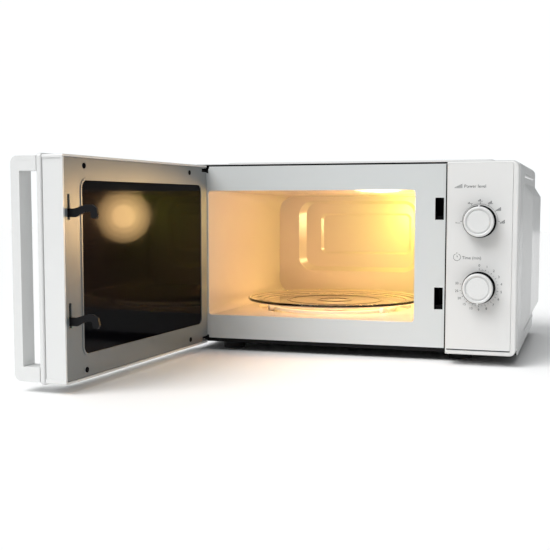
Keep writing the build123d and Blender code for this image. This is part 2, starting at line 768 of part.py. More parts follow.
with BuildPart() as glass_tray:
    with BuildSketch(Plane(origin=(tray_x, tray_y, tray_bottom), x_dir=(1, 0, 0), z_dir=(0, -1, 0))):
        with BuildLine():
            flat = tray_radius - 15.5
            Polyline(
                (0, 0), (flat, 0), (tray_radius - 3.0, tray_rim - 4.0), (tray_radius, tray_rim - 1.6),
                (tray_radius - 1.4, tray_rim), (tray_radius - 5.0, tray_rim - 0.6),
                (flat - 3.0, tray_thickness + 0.6), (flat - 6.0, tray_thickness - 0.6),
                (flat - 34.0, tray_thickness - 0.6), (flat - 37.0, tray_thickness), (0, tray_thickness),
                close=True,
            )
        make_face()
    revolve(axis=Axis((tray_x, tray_y, 0), (0, 0, 1)))
save(glass_tray, "glass_tray")

# ---- latch board, behind the frame's slots -----------------------------------------------
board_left, board_right = latch_x - 9.0, latch_x + 8.0
pocket_low, pocket_high = -13.0, slot_height - 7.0
with BuildPart() as latch_board:
    with BuildSketch(facing_right(board_left)):
        span(sheet, 47.0, lower_hook_z - 19.0, upper_hook_z + 27.0, 3.0)
    extrude(amount=board_right - board_left)
    with BuildSketch(facing_right(latch_x - slot_width / 2 - 0.5)):
        for hook_z in hook_heights:
            span(0, 43.0, hook_z + pocket_low, hook_z + pocket_high)
    extrude(amount=slot_width + 1.0, mode=Mode.SUBTRACT)
    # ledges that the hooks drop behind
    with BuildSketch(facing_right(latch_x - slot_width / 2 - 0.5)):
        for hook_z in hook_heights:
            span(10.0, 22.0, hook_z + pocket_low, hook_z - 6.0 - loose)
    extrude(amount=slot_width + 1.0)
save(latch_board, "latch_board")

with BuildPart() as interlock_switches:
    with BuildSketch(facing_right(board_right)):
        for low in (upper_hook_z - 14.0, upper_hook_z + 6.0, lower_hook_z - 6.0):
            span(14.0, 42.0, low, low + 16.0, 1.0)
    extrude(amount=10.2)
    with BuildSketch(facing_right(board_right + 3.0)):
        for low in (upper_hook_z - 14.0, upper_hook_z + 6.0, lower_hook_z - 6.0):
            for terminal in (18.0, 28.0, 38.0):
                span(terminal, terminal + 3.2, low - 3.5, low + 1.0)
    extrude(amount=0.8)
save(interlock_switches, "interlock_switches")

# ---- control panel -----------------------------------------------------------------------
with BuildPart() as control_housing:
    with BuildSketch(facing_front(0.0)):
        span(panel_left, half_width, panel_bottom, panel_top)
    extrude(amount=panel_depth)
    fillet(control_housing.edges().filter_by(Axis.Y).sort_by(Axis.X)[-2:], case_corner - 2.0)
    fillet(control_housing.faces().sort_by(Axis.Y)[0].edges(), 2.2)
    with BuildSketch(facing_front(0.0)):
        span(panel_left + panel_wall, half_width - panel_wall,
             panel_bottom + panel_wall, panel_top - panel_wall, 2.0)
    extrude(amount=panel_depth - panel_wall, mode=Mode.SUBTRACT)
    with BuildSketch(facing_front(-panel_depth + fascia_thickness - 0.6)):
        span(panel_left + 1.2, half_width - 6.6, panel_bottom + 5.0, panel_top - 1.6, 3.0)
    extrude(amount=panel_wall, mode=Mode.SUBTRACT)
    with BuildSketch(facing_front(0.0)):
        for knob_z in (timer_z, power_z):
            with Locations((knob_x, knob_z)):
                Circle(10.0)
    extrude(amount=panel_depth, mode=Mode.SUBTRACT)
save(control_housing, "control_housing")

with BuildPart() as control_fascia:
    with BuildSketch(facing_front(fascia_front + fascia_thickness)):
        span(panel_left + 1.4, half_width - 6.8, panel_bottom + 5.2, panel_top - 1.8, 3.0)
        for knob_z in (timer_z, power_z):
            with Locations((knob_x, knob_z)):
                Circle(stem_diameter / 2 + 2.0, mode=Mode.SUBTRACT)
    extrude(amount=fascia_thickness)
save(control_fascia, "control_fascia")

body_back = -panel_depth + panel_wall + 0.2
stem_back = body_back + 12.0
knob_back = fascia_front - 1.0
for name, knob_z, box_width, box_height, box_depth in (
    ("power_switch", power_z, 46.0, 46.0, 24.0),
    ("timer_unit", timer_z, 56.0, 60.0, 40.0),
):
    with BuildPart() as switch:
        with BuildSketch(facing_front(body_back + box_depth)):
            with Locations((knob_x, knob_z)):
                RectangleRounded(box_width, box_height, 3.0)
        extrude(amount=box_depth)
        with BuildSketch(facing_front(body_back)):
            with Locations((knob_x, knob_z)):
                Circle(stem_diameter / 2 + 1.5)
        extrude(amount=panel_wall - 0.4)
        with BuildSketch(facing_front(stem_back)):
            with Locations((knob_x, knob_z)):
                Circle(stem_diameter / 2 + running)
        extrude(amount=30.0, mode=Mode.SUBTRACT)
    save(switch, name)

with BuildPart() as timer_bell:
    with BuildSketch(facing_front(body_back + 40.0 + 12.0)):
        with Locations((knob_x, timer_z)):
            Circle(22.0)
    extrude(amount=9.0)
    with BuildSketch(facing_front(body_back + 40.0 + 10.5)):
        with Locations((knob_x, timer_z)):
            Circle(20.5)
    extrude(amount=7.5, mode=Mode.SUBTRACT)
    with BuildSketch(facing_front(body_back + 40.0 + 12.0)):
        with Locations((knob_x, timer_z)):
            Circle(3.0)
    extrude(amount=12.0)
save(timer_bell, "timer_bell")

for name, knob_z, pointer in (("power", power_z, 1.0), ("timer", timer_z, -1.0)):
    with BuildPart() as shaft:
        with BuildSketch(facing_front(stem_back - 0.5)):
            with Locations((knob_x, knob_z)):
                Circle(stem_diameter / 2)
        extrude(amount=stem_back - 0.5 - knob_back + 10.0)
    save(shaft, f"{name}_shaft")

    with BuildPart() as knob:
        with BuildSketch(facing_front(knob_back)):
            with Locations((knob_x, knob_z)):
                Circle(knob_diameter / 2)
        extrude(amount=knob_height - 3.0)
        with BuildSketch(facing_front(knob_back - knob_height + 3.0)):
            with Locations((knob_x, knob_z)):
                Circle(knob_diameter / 2)
        with BuildSketch(facing_front(knob_back - knob_height)):
            with Locations((knob_x, knob_z)):
                Circle(knob_diameter / 2 - 3.6)
        loft()
        with BuildSketch(facing_front(knob_back)):
            with Locations((knob_x, knob_z)):
                Circle(knob_diameter / 2 - 2.0)
                Circle(stem_diameter / 2 + 3.0, mode=Mode.SUBTRACT)
        extrude(amount=knob_height - 5.0, mode=Mode.SUBTRACT)
        with BuildSketch(facing_front(knob_back)):
            with Locations((knob_x, knob_z)):
                Circle(stem_diameter / 2)
        extrude(amount=10.0, mode=Mode.SUBTRACT)
        # shallow seat for the cap, and the pointer notch in the rim
        with BuildSketch(facing_front(knob_back - knob_height + 1.2)):
            with Locations((knob_x, knob_z)):
                Circle(knob_cap_diameter / 2)
        extrude(amount=2.0, mode=Mode.SUBTRACT)
        with BuildSketch(facing_front(knob_back - knob_height + 3.6)):
            with Locations((knob_x, knob_z + pointer * (knob_diameter / 2 - 1.4))):
                Rectangle(2.0, 4.0)
        extrude(amount=5.0, mode=Mode.SUBTRACT)
    save(knob, f"{name}_knob")

    with BuildPart() as cap:
        with BuildSketch(facing_front(knob_back - knob_height + 1.2)):
            with Locations((knob_x, knob_z)):
                Circle(knob_cap_diameter / 2 - loose)
        extrude(amount=1.8)
        fillet(cap.faces().sort_by(Axis.Y)[0].edges(), 0.6)
    save(cap, f"{name}_knob_cap")

# ---- hinge brackets and their pins, on the front frame ------------------------------------
arm_eye = hinge_arm_width / 2
hinge_arms = ((lower_arm_z, 1.0), (upper_arm_z, -1.0))
with BuildPart() as hinge_brackets:
    for arm_z, pin_up in hinge_arms:
        with BuildSketch(Plane.XY.offset(arm_z)):
            span(hinge_x - arm_eye, hinge_x + arm_eye, hinge_y, sheet + 2.0)
            span(tab_inset[0], tab_inset[1], sheet, sheet + 2.0)
            with Locations((hinge_x, hinge_y)):
                Circle(arm_eye)
                Circle(pin_diameter / 2, mode=Mode.SUBTRACT)
        extrude(amount=hinge_sheet)
        tab_low = arm_z if pin_up > 0 else arm_z - 16.0
        with BuildSketch(facing_front(sheet + 2.0)):
            span(tab_inset[0], tab_inset[1], tab_low, tab_low + 16.0 + hinge_sheet)
        extrude(amount=2.0)
save(hinge_brackets, "hinge_brackets")

with BuildPart() as hinge_pins:
    for arm_z, pin_up in hinge_arms:
        with BuildSketch(Plane.XY.offset(arm_z if pin_up > 0 else arm_z + hinge_sheet)):
            with Locations((hinge_x, hinge_y)):
                Circle(pin_diameter / 2)
        extrude(amount=pin_up * (hinge_sheet + pin_length))
save(hinge_pins, "hinge_pins")

# ---- door --------------------------------------------------------------------------------
arm_slots = [(arm_z - 1.5, arm_z + hinge_sheet + 1.5) for arm_z in (lower_arm_z, upper_arm_z)]
notch_right = hinge_x + arm_eye + 2.0
with BuildPart() as door_frame:
    with BuildSketch(on_door(0.0)):
        span(door_left, door_right, door_bottom, door_top, 2.0)
        span(door_left + door_wall, door_right - door_wall, door_bottom + door_wall,
             door_top - door_wall, 1.0, Mode.SUBTRACT)
    extrude(amount=door_thickness - 1.0)
    with BuildSketch(on_door(door_thickness - 3.5)):
        span(door_left + 1.0, door_right - 1.0, door_bottom + 1.0, door_top - 1.0)
        span(window_left + 8.0, window_right - 8.0, window_bottom + 8.0, window_top - 8.0,
             window_corner, Mode.SUBTRACT)
    extrude(amount=2.5)
    # screw bosses, hinge bush bosses and the rails of the latch bar
    with BuildSketch(on_door(plate_thickness)):
        with Locations(door_screw_spots):
            Circle(4.0)
    extrude(amount=door_thickness - 3.0 - plate_thickness)
    with BuildSketch(on_door(plate_thickness + 1.2)):
        with Locations(door_screw_spots):
            Circle(1.6)
    extrude(amount=12.0, mode=Mode.SUBTRACT)
    with BuildSketch(on_door(plate_thickness)):
        with Locations(door_screw_spots):
            Circle(1.6)
    extrude(amount=2.0, mode=Mode.SUBTRACT)
    for slot, low, high in (
        (arm_slots[0], arm_slots[0][1], arm_slots[0][1] + pin_length - 1.0),
        (arm_slots[1], arm_slots[1][0] - pin_length + 1.0, arm_slots[1][0]),
    ):
        with BuildSketch(above_door(low)):
            span(door_left + 1.0, hinge_x + 8.0, hinge_y - 8.0, hinge_y + 7.0)
            span(door_left + 1.0, hinge_x + 8.0, -door_gap - door_thickness + 3.0, hinge_y)
            with Locations((hinge_x, hinge_y)):
                Circle(bush_diameter / 2, mode=Mode.SUBTRACT)
        extrude(amount=high - low)
        # room for the bracket's arm, out through the inner face and round the hinge edge
        with BuildSketch(above_door(slot[0])):
            span(door_left - 1.0, notch_right, hinge_y - arm_eye - 1.5, 1.0)
        extrude(amount=slot[1] - slot[0], mode=Mode.SUBTRACT)
    # the free end is a shallow panel inside a rim
    with BuildSketch(across_door(door_right - end_recess)):
        span(-door_thickness, -2.2, door_bottom + 5.0, door_top - 3.5)
    extrude(amount=end_recess + 1.0, mode=Mode.SUBTRACT)
    # the hinge edge is cut back so that it turns clear of the frame
    with BuildSketch(above_door(door_bottom - 1.0)):
        span(door_left - 1.0, door_left + 3.4, -door_gap - 5.4, 1.0)
    extrude(amount=door_top - door_bottom + 2.0, mode=Mode.SUBTRACT)
    for rail_x in (latch_x - 4.6, latch_x + 2.6):
        with BuildSketch(on_door(door_thickness - 3.5)):
            span(rail_x, rail_x + 2.0, lower_hook_z - 8.0, lower_hook_z + 30.0)
            span(rail_x, rail_x + 2.0, upper_hook_z - 30.0, upper_hook_z + 8.0)
        extrude(amount=-9.0)
save(door_frame, "door_frame")

with BuildPart() as door_bushes:
    for low, high in (
        (arm_slots[0][1], arm_slots[0][1] + pin_length - 1.0),
        (arm_slots[1][0] - pin_length + 1.0, arm_slots[1][0]),
    ):
        with BuildSketch(above_door(low)):
            with Locations((hinge_x, hinge_y)):
                Circle(bush_diameter / 2 - 0.02)
                Circle(pin_diameter / 2 + running, mode=Mode.SUBTRACT)
        extrude(amount=high - low)
save(door_bushes, "door_bushes")

with BuildPart() as inner_plate:
    with BuildSketch(on_door(0.0)):
        span(plate_left, plate_right, plate_bottom, plate_top, 2.0)
        span(window_left, window_right, window_bottom, window_top, window_corner, Mode.SUBTRACT)
        for slot in arm_slots:
            span(plate_left - 1.0, notch_right, slot[0], slot[1], mode=Mode.SUBTRACT)
        with Locations(door_screw_spots):
            Circle(3.2, mode=Mode.SUBTRACT)
        for hook_z in hook_heights:
            span(latch_x - 2.2, latch_x + 2.2, hook_z - 7.4, hook_z + 13.4 + latch_travel,
                 mode=Mode.SUBTRACT)
    extrude(amount=plate_thickness)
    with BuildSketch(on_door(0.0)):
        span(window_left - 2.4, window_right + 2.4, window_bottom - 2.4, window_top + 2.4,
             window_corner + 2.4)
        span(window_left, window_right, window_bottom, window_top, window_corner, Mode.SUBTRACT)
    extrude(amount=-window_bead)
save(inner_plate, "inner_plate")

with BuildPart() as inner_window:
    with BuildSketch(on_door(plate_thickness)):
        span(window_left - 4.0, window_right + 4.0, window_bottom - 4.0, window_top + 4.0, window_corner)
    extrude(amount=glass_thickness)
    with BuildSketch(on_door(0.4)):
        span(window_left + 0.2, window_right - 0.2, window_bottom + 0.2, window_top - 0.2, window_corner)
    extrude(amount=plate_thickness - 0.4)
save(inner_window, "inner_window")

choke_left, choke_right = hinge_x + 16.0, latch_x - 11.0
choke_back = plate_thickness + glass_thickness + 0.3
with BuildPart() as choke_panel:
    with BuildSketch(on_door(choke_back)):
        span(choke_left, choke_right, door_bottom + 15.6, door_top - 16.0, 3.0)
        span(choke_left + 1.2, choke_right - 1.2, door_bottom + 16.8, door_top - 17.2, 2.0, Mode.SUBTRACT)
    extrude(amount=11.0)
    with BuildSketch(on_door(choke_back + 11.0)):
        span(choke_left, choke_right, door_bottom + 15.6, door_top - 16.0, 3.0)
    extrude(amount=1.2)
save(choke_panel, "choke_panel")

with BuildPart() as door_screws:
    with BuildSketch(on_door(-0.6)):
        with Locations(door_screw_spots):
            Circle(3.0)
    extrude(amount=plate_thickness + 0.6)
    with BuildSketch(on_door(plate_thickness)):
        with Locations(door_screw_spots):
            Circle(1.6 - running)
    extrude(amount=10.0)
save(door_screws, "door_screws")

cover_low, cover_high = door_bottom - 2.0, door_top + 1.5
front_glass_depth = door_thickness + 0.8
with BuildPart() as door_cover:
    with BuildSketch(on_door(door_thickness)):
        span(door_left, door_right, cover_low, cover_high, 4.0)
    extrude(amount=cover_thickness)
    fillet(door_cover.faces().sort_by(Axis.X)[0].edges(), 2.0)
    with BuildSketch(on_door(door_thickness - 1.0)):
        span(window_left + 14.0, window_right - 14.0, window_bottom + 14.0, window_top - 14.0, 10.0)
    extrude(amount=cover_thickness + 2.0, mode=Mode.SUBTRACT)
    with BuildSketch(on_door(front_glass_depth)):
        span(window_left + 6.0, window_right - 6.0, window_bottom + 6.0, window_top - 6.0, 8.0)
    extrude(amount=3.0, mode=Mode.SUBTRACT)
    with BuildSketch(on_door(door_thickness - 1.0)):
        span(window_left + 6.0, window_right - 6.0, window_bottom + 6.0, window_top - 6.0, 8.0)
    extrude(amount=2.0, mode=Mode.SUBTRACT)
save(door_cover, "door_cover")

with BuildPart() as door_glass:
    with BuildSketch(on_door(front_glass_depth)):
        span(window_left + 6.3, window_right - 6.3, window_bottom + 6.3, window_top - 6.3, 8.0)
    extrude(amount=2.8)
save(door_glass, "door_glass")

# ---- handle, a grip on two arms at the door's free edge ------------------------------------
handle_left = door_right - handle_width
handle_low, handle_high = door_bottom + 1.0, door_top - 1.0
shell_depth = handle_outer_depth - handle_shell
core_low, core_high = handle_low + handle_shell, handle_high - handle_shell
arm_end = handle_arm - handle_shell
with BuildPart() as handle_inner:
    with BuildSketch(across_door(handle_left)):
        span(-shell_depth, -cover_outer, core_low, core_high)
        span(-handle_outer_depth + handle_grip, -cover_outer + 1.0, core_low + arm_end,
             core_high - arm_end, mode=Mode.SUBTRACT)
    extrude(amount=handle_width)
    # the arms and the grip are moulded hollow from the shell's side
    with BuildSketch(on_door(shell_depth)):
        span(handle_left + handle_wall, door_right - handle_wall, core_low + handle_wall,
             core_high - handle_wall, 2.0)
    extrude(amount=-2.6, mode=Mode.SUBTRACT)
    for arm_low in (core_low, core_high - arm_end):
        with BuildSketch(on_door(shell_depth)):
            span(handle_left + handle_wall, door_right - handle_wall,
                 arm_low + handle_wall, arm_low + arm_end - handle_wall, 2.0)
        extrude(amount=-(shell_depth - cover_outer - handle_wall), mode=Mode.SUBTRACT)
save(handle_inner, "handle_inner")

with BuildPart() as handle_outer:
    with BuildSketch(across_door(handle_left)):
        span(-handle_outer_depth, -cover_outer, handle_low, handle_high, handle_corner)
        span(-cover_outer - handle_corner, -cover_outer, handle_low, handle_high)
        span(-shell_depth, -cover_outer + 1.0, core_low, core_high, mode=Mode.SUBTRACT)
    extrude(amount=handle_width)
    with BuildSketch(on_door(shell_depth)):
        span(handle_left + handle_wall, door_right - handle_wall, core_low + handle_wall,
             core_high - handle_wall, 2.0)
    extrude(amount=handle_shell - handle_wall, mode=Mode.SUBTRACT)
save(handle_outer, "handle_outer")

# ---- latch bar with its two hooks, sliding up in the door ----------------------------------
bar_front, bar_back = 9.0, 15.0
with BuildPart() as latch_bar:
    with BuildSketch(across_door(latch_x - hook_thickness / 2)):
        span(-bar_back, -bar_front, lower_hook_z - 5.0, upper_hook_z + 5.0, 1.5)
        for hook_z in hook_heights:
            with BuildLine():
                Polyline(
                    (-bar_front - 2.0, hook_z - 4.5), (9.0, hook_z - 4.5), (19.5, hook_z + 0.8),
                    (27.0, hook_z + 1.2), (28.2, hook_z - 5.6), (hook_reach - 1.8, hook_z - 6.0),
                    (hook_reach, hook_z - 2.5), (hook_reach - 1.6, hook_z + 5.0),
                    (hook_reach - 7.0, hook_z + 8.6), (21.0, hook_z + 8.6), (8.0, hook_z + 4.5),
                    (-bar_front - 2.0, hook_z + 4.5), close=True,
                )
            make_face()
    extrude(amount=hook_thickness)
save(latch_bar, "latch_bar")

spring_low, spring_high = upper_hook_z + 5.0, upper_hook_z + 29.0
spring_depth = (bar_front + bar_back) / 2
with BuildPart() as latch_spring:
    with BuildSketch(above_door(spring_low)):
        with Locations((latch_x, -door_gap - spring_depth)):
            Circle(3.0)
            Circle(2.2, mode=Mode.SUBTRACT)
    extrude(amount=spring_high - spring_low)
save(latch_spring, "latch_spring")
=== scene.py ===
import math

import bmesh
import bpy
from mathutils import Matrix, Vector


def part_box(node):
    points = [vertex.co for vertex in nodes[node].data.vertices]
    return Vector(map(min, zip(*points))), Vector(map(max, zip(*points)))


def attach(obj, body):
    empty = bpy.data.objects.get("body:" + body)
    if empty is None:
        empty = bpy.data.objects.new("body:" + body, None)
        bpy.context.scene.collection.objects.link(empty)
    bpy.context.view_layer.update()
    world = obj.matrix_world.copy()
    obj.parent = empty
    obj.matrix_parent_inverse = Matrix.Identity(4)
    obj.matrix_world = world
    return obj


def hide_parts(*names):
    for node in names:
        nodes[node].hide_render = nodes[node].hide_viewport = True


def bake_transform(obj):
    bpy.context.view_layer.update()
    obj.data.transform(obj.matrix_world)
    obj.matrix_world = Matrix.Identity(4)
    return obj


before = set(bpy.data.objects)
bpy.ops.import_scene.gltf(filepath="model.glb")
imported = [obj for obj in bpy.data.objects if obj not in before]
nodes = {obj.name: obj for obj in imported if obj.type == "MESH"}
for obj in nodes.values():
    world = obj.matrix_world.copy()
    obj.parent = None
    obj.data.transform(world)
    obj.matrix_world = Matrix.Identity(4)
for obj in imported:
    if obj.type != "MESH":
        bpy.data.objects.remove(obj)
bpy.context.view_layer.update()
mm = 0.001
print("frame loaded,", len(nodes), "nodes")


# small helpers
def deselectAll():
    if bpy.context.object and bpy.context.object.mode != "OBJECT":
        bpy.ops.object.mode_set(mode="OBJECT")
    bpy.ops.object.select_all(action="DESELECT")


def pick(obj):
    deselectAll()
    obj.select_set(True)
    bpy.context.view_layer.objects.active = obj
    return obj


def applyPlace(obj):
    pick(obj)
    bpy.ops.object.transform_apply(location=True, rotation=True, scale=True)
    return obj


def centreOf(node):
    low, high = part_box(node)
    return (Vector(low) + Vector(high)) / 2


def selectEdges(mesh, test):
    for vert in mesh.verts:
        vert.select = False
    for edge in mesh.edges:
        edge.select = False
    for face in mesh.faces:
        face.select = False
    for edge in mesh.edges:
        if test(edge):
            edge.select = True
    mesh.select_flush_mode()


def roundEdges(obj, width, segments=3, sharper=30.0, softer=180.0):
    # bevels the edges whose two faces meet between the two angles
    pick(obj)
    bpy.ops.object.mode_set(mode="EDIT")
    bpy.ops.mesh.select_mode(type="EDGE")
    mesh = bmesh.from_edit_mesh(obj.data)
    low, high = math.radians(sharper), math.radians(softer)

    def test(edge):
        if len(edge.link_faces) != 2:
            return False
        return low <= edge.calc_face_angle(0.0) <= high

    selectEdges(mesh, test)
    bmesh.update_edit_mesh(obj.data)
    bpy.ops.mesh.bevel(offset=width, segments=segments, profile=0.5, affect="EDGES", clamp_overlap=True)
    bpy.ops.object.mode_set(mode="OBJECT")
    return obj


def smoothOff(obj, angle=32.0):
    pick(obj)
    bpy.ops.object.shade_smooth_by_angle(angle=math.radians(angle))
    weighted = obj.modifiers.new("weightedNormals", "WEIGHTED_NORMAL")
    weighted.keep_sharp = True
    weighted.weight = 60
    bpy.ops.object.modifier_apply(modifier=weighted.name)
    return obj


# how close two points are welded (in metres), and how flat an edge is dissolved (in degrees)
welding = {"reach": 2e-6, "flat": 0.6}


def cadCopy(node, name):
    # a welded copy of a CAD node's mesh, with its flat faces joined up again
    obj = bpy.data.objects.new(name, nodes[node].data.copy())
    obj.data.materials.clear()
    bpy.context.scene.collection.objects.link(obj)
    pick(obj)
    bpy.ops.object.mode_set(mode="EDIT")
    bpy.ops.mesh.select_mode(type="FACE")
    bpy.ops.mesh.select_all(action="SELECT")
    bpy.ops.mesh.remove_doubles(threshold=welding["reach"])
    bpy.ops.mesh.customdata_custom_splitnormals_clear()
    bpy.ops.mesh.dissolve_limited(angle_limit=math.radians(welding["flat"]))
    bpy.ops.object.mode_set(mode="OBJECT")
    return obj


def finishPiece(obj, body, material, *stands, slot=None):
    obj.data.materials.clear()
    obj.data.materials.append(material)
    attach(obj, body)
    if stands:
        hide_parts(*stands)
    return obj


def joinAll(objs, name):
    deselectAll()
    for obj in objs:
        obj.select_set(True)
    bpy.context.view_layer.objects.active = objs[0]
    bpy.ops.object.join()
    objs[0].name = name
    return objs[0]


# shader groups, built once
def newGroup(name, inputs, outputs):
    group = bpy.data.node_groups.new(name, "ShaderNodeTree")
    for label, kind, value in inputs:
        socket = group.interface.new_socket(name=label, in_out="INPUT", socket_type=kind)
        socket.default_value = value
    for label, kind in outputs:
        group.interface.new_socket(name=label, in_out="OUTPUT", socket_type=kind)
    start = group.nodes.new("NodeGroupInput")
    end = group.nodes.new("NodeGroupOutput")
    return group, start, end


def addNode(tree, kind, **values):
    node = tree.nodes.new(kind)
    for key, value in values.items():
        if hasattr(node, key):
            setattr(node, key, value)
        else:
            node.inputs[key.replace("_", " ")].default_value = value
    return node


def mixColor(tree, factor, first, second):
    mix = tree.nodes.new("ShaderNodeMix")
    mix.data_type = "RGBA"
    for socket, value in ((mix.inputs[0], factor), (mix.inputs[6], first), (mix.inputs[7], second)):
        if isinstance(value, bpy.types.NodeSocket):
            tree.links.new(value, socket)
        else:
            socket.default_value = value
    return mix.outputs[2]


def ramped(tree, value, low, high, outLow=0.0, outHigh=1.0):
    node = tree.nodes.new("ShaderNodeMapRange")
    node.inputs["From Min"].default_value = low
    node.inputs["From Max"].default_value = high
    for label, amount in (("To Min", outLow), ("To Max", outHigh)):
        if isinstance(amount, bpy.types.NodeSocket):
            tree.links.new(amount, node.inputs[label])
        else:
            node.inputs[label].default_value = amount
    tree.links.new(value, node.inputs["Value"])
    return node.outputs["Result"]


def buildTone():
    # slow drift of colour over a surface, as paint and mouldings have
    group, start, end = newGroup(
        "toneDrift",
        [("Color", "NodeSocketColor", (0.8, 0.8, 0.8, 1)), ("Shade", "NodeSocketColor", (0.7, 0.7, 0.7, 1)),
         ("Scale", "NodeSocketFloat", 9.0), ("Amount", "NodeSocketFloat", 0.4)],
        [("Color", "NodeSocketColor")])
    coords = addNode(group, "ShaderNodeTexCoord")
    noise = addNode(group, "ShaderNodeTexNoise", Detail=4.0, Roughness=0.55)
    group.links.new(coords.outputs["Object"], noise.inputs["Vector"])
    group.links.new(start.outputs["Scale"], noise.inputs["Scale"])
    spread = ramped(group, noise.outputs["Fac"], 0.35, 0.7)
    amount = addNode(group, "ShaderNodeMath", operation="MULTIPLY")
    group.links.new(spread, amount.inputs[0])
    group.links.new(start.outputs["Amount"], amount.inputs[1])
    color = mixColor(group, amount.outputs[0], start.outputs["Color"], start.outputs["Shade"])
    group.links.new(color, end.inputs["Color"])
    return group


def buildGrain():
    # fine tooth of a finish: a roughness value and a height for bump
    group, start, end = newGroup(
        "fineTooth",
        [("Scale", "NodeSocketFloat", 900.0), ("Low", "NodeSocketFloat", 0.3),
         ("High", "NodeSocketFloat", 0.4), ("Smears", "NodeSocketFloat", 0.04)],
        [("Roughness", "NodeSocketFloat"), ("Height", "NodeSocketFloat")])
    coords = addNode(group, "ShaderNodeTexCoord")
    fine = addNode(group, "ShaderNodeTexNoise", Detail=2.0, Roughness=0.6)
    group.links.new(coords.outputs["Object"], fine.inputs["Vector"])
    group.links.new(start.outputs["Scale"], fine.inputs["Scale"])
    smear = addNode(group, "ShaderNodeTexNoise", Scale=22.0, Detail=3.0, Distortion=1.6)
    group.links.new(coords.outputs["Object"], smear.inputs["Vector"])
    base = ramped(group, fine.outputs["Fac"], 0.3, 0.7, start.outputs["Low"], start.outputs["High"])
    wiped = ramped(group, smear.outputs["Fac"], 0.45, 0.75)
    scaled = addNode(group, "ShaderNodeMath", operation="MULTIPLY")
    group.links.new(wiped, scaled.inputs[0])
    group.links.new(start.outputs["Smears"], scaled.inputs[1])
    total = addNode(group, "ShaderNodeMath", operation="ADD", use_clamp=True)
    group.links.new(base, total.inputs[0])
    group.links.new(scaled.outputs[0], total.inputs[1])
    group.links.new(total.outputs[0], end.inputs["Roughness"])
    group.links.new(fine.outputs["Fac"], end.inputs["Height"])
    return group


def buildBrushed():
    # lines drawn along one axis: stretch sets how long they run
    group, start, end = newGroup(
        "brushedLines",
        [("Stretch", "NodeSocketVector", (20.0, 900.0, 900.0)), ("Low", "NodeSocketFloat", 0.25),
         ("High", "NodeSocketFloat", 0.45)],
        [("Roughness", "NodeSocketFloat"), ("Height", "NodeSocketFloat"), ("Mask", "NodeSocketFloat")])
    coords = addNode(group, "ShaderNodeTexCoord")
    scale = addNode(group, "ShaderNodeVectorMath", operation="MULTIPLY")
    group.links.new(coords.outputs["Object"], scale.inputs[0])
    group.links.new(start.outputs["Stretch"], scale.inputs[1])
    noise = addNode(group, "ShaderNodeTexNoise", Scale=1.0, Detail=3.0)
    group.links.new(scale.outputs[0], noise.inputs["Vector"])
    rough = ramped(group, noise.outputs["Fac"], 0.3, 0.7, start.outputs["Low"], start.outputs["High"])
    group.links.new(rough, end.inputs["Roughness"])
    group.links.new(noise.outputs["Fac"], end.inputs["Height"])
    group.links.new(ramped(group, noise.outputs["Fac"], 0.4, 0.65), end.inputs["Mask"])
    return group


def buildDust():
    # light dust that settles on faces that look up
    group, start, end = newGroup(
        "settledDust",
        [("Color", "NodeSocketColor", (0.5, 0.5, 0.5, 1)), ("Amount", "NodeSocketFloat", 0.1)],
        [("Color", "NodeSocketColor")])
    geometry = addNode(group, "ShaderNodeNewGeometry")
    split = addNode(group, "ShaderNodeSeparateXYZ")
    group.links.new(geometry.outputs["Normal"], split.inputs[0])
    up = ramped(group, split.outputs["Z"], 0.3, 1.0)
    coords = addNode(group, "ShaderNodeTexCoord")
    noise = addNode(group, "ShaderNodeTexNoise", Scale=60.0, Detail=6.0, Roughness=0.7)
    group.links.new(coords.outputs["Object"], noise.inputs["Vector"])
    patch = ramped(group, noise.outputs["Fac"], 0.4, 0.75)
    both = addNode(group, "ShaderNodeMath", operation="MULTIPLY")
    group.links.new(up, both.inputs[0])
    group.links.new(patch, both.inputs[1])
    strength = addNode(group, "ShaderNodeMath", operation="MULTIPLY")
    group.links.new(both.outputs[0], strength.inputs[0])
    group.links.new(start.outputs["Amount"], strength.inputs[1])
    color = mixColor(group, strength.outputs[0], start.outputs["Color"], (0.62, 0.60, 0.57, 1))
    group.links.new(color, end.inputs["Color"])
    return group


toneDrift = buildTone()
fineTooth = buildGrain()
brushedLines = buildBrushed()
settledDust = buildDust()
print("shader groups built")


# materials
def placeGroup(tree, group, **values):
    node = tree.nodes.new("ShaderNodeGroup")
    node.node_tree = group
    for key, value in values.items():
        node.inputs[key].default_value = value
    return node


def rgb(red, green, blue):
    return (red, green, blue, 1.0)


def finishMaterial(name, color, shade, tone=9.0, amount=0.35, tooth=900.0, low=0.3, high=0.38,
                   smears=0.03, bump=0.02, dust=0.0, **uniform):
    material = bpy.data.materials.new(name)
    material.use_nodes = True
    tree = material.node_tree
    shader = tree.nodes["Principled BSDF"]
    drift = placeGroup(tree, toneDrift, Color=color, Shade=shade, Scale=tone, Amount=amount)
    surface = drift.outputs["Color"]
    if dust:
        settled = placeGroup(tree, settledDust, Amount=dust)
        tree.links.new(surface, settled.inputs["Color"])
        surface = settled.outputs["Color"]
    tree.links.new(surface, shader.inputs["Base Color"])
    grain = placeGroup(tree, fineTooth, Scale=tooth, Low=low, High=high, Smears=smears)
    tree.links.new(grain.outputs["Roughness"], shader.inputs["Roughness"])
    if bump:
        relief = addNode(tree, "ShaderNodeBump", Strength=bump, Distance=0.0004)
        tree.links.new(grain.outputs["Height"], relief.inputs["Height"])
        tree.links.new(relief.outputs["Normal"], shader.inputs["Normal"])
    for key, value in uniform.items():
        shader.inputs[key.replace("_", " ")].default_value = value
    return material


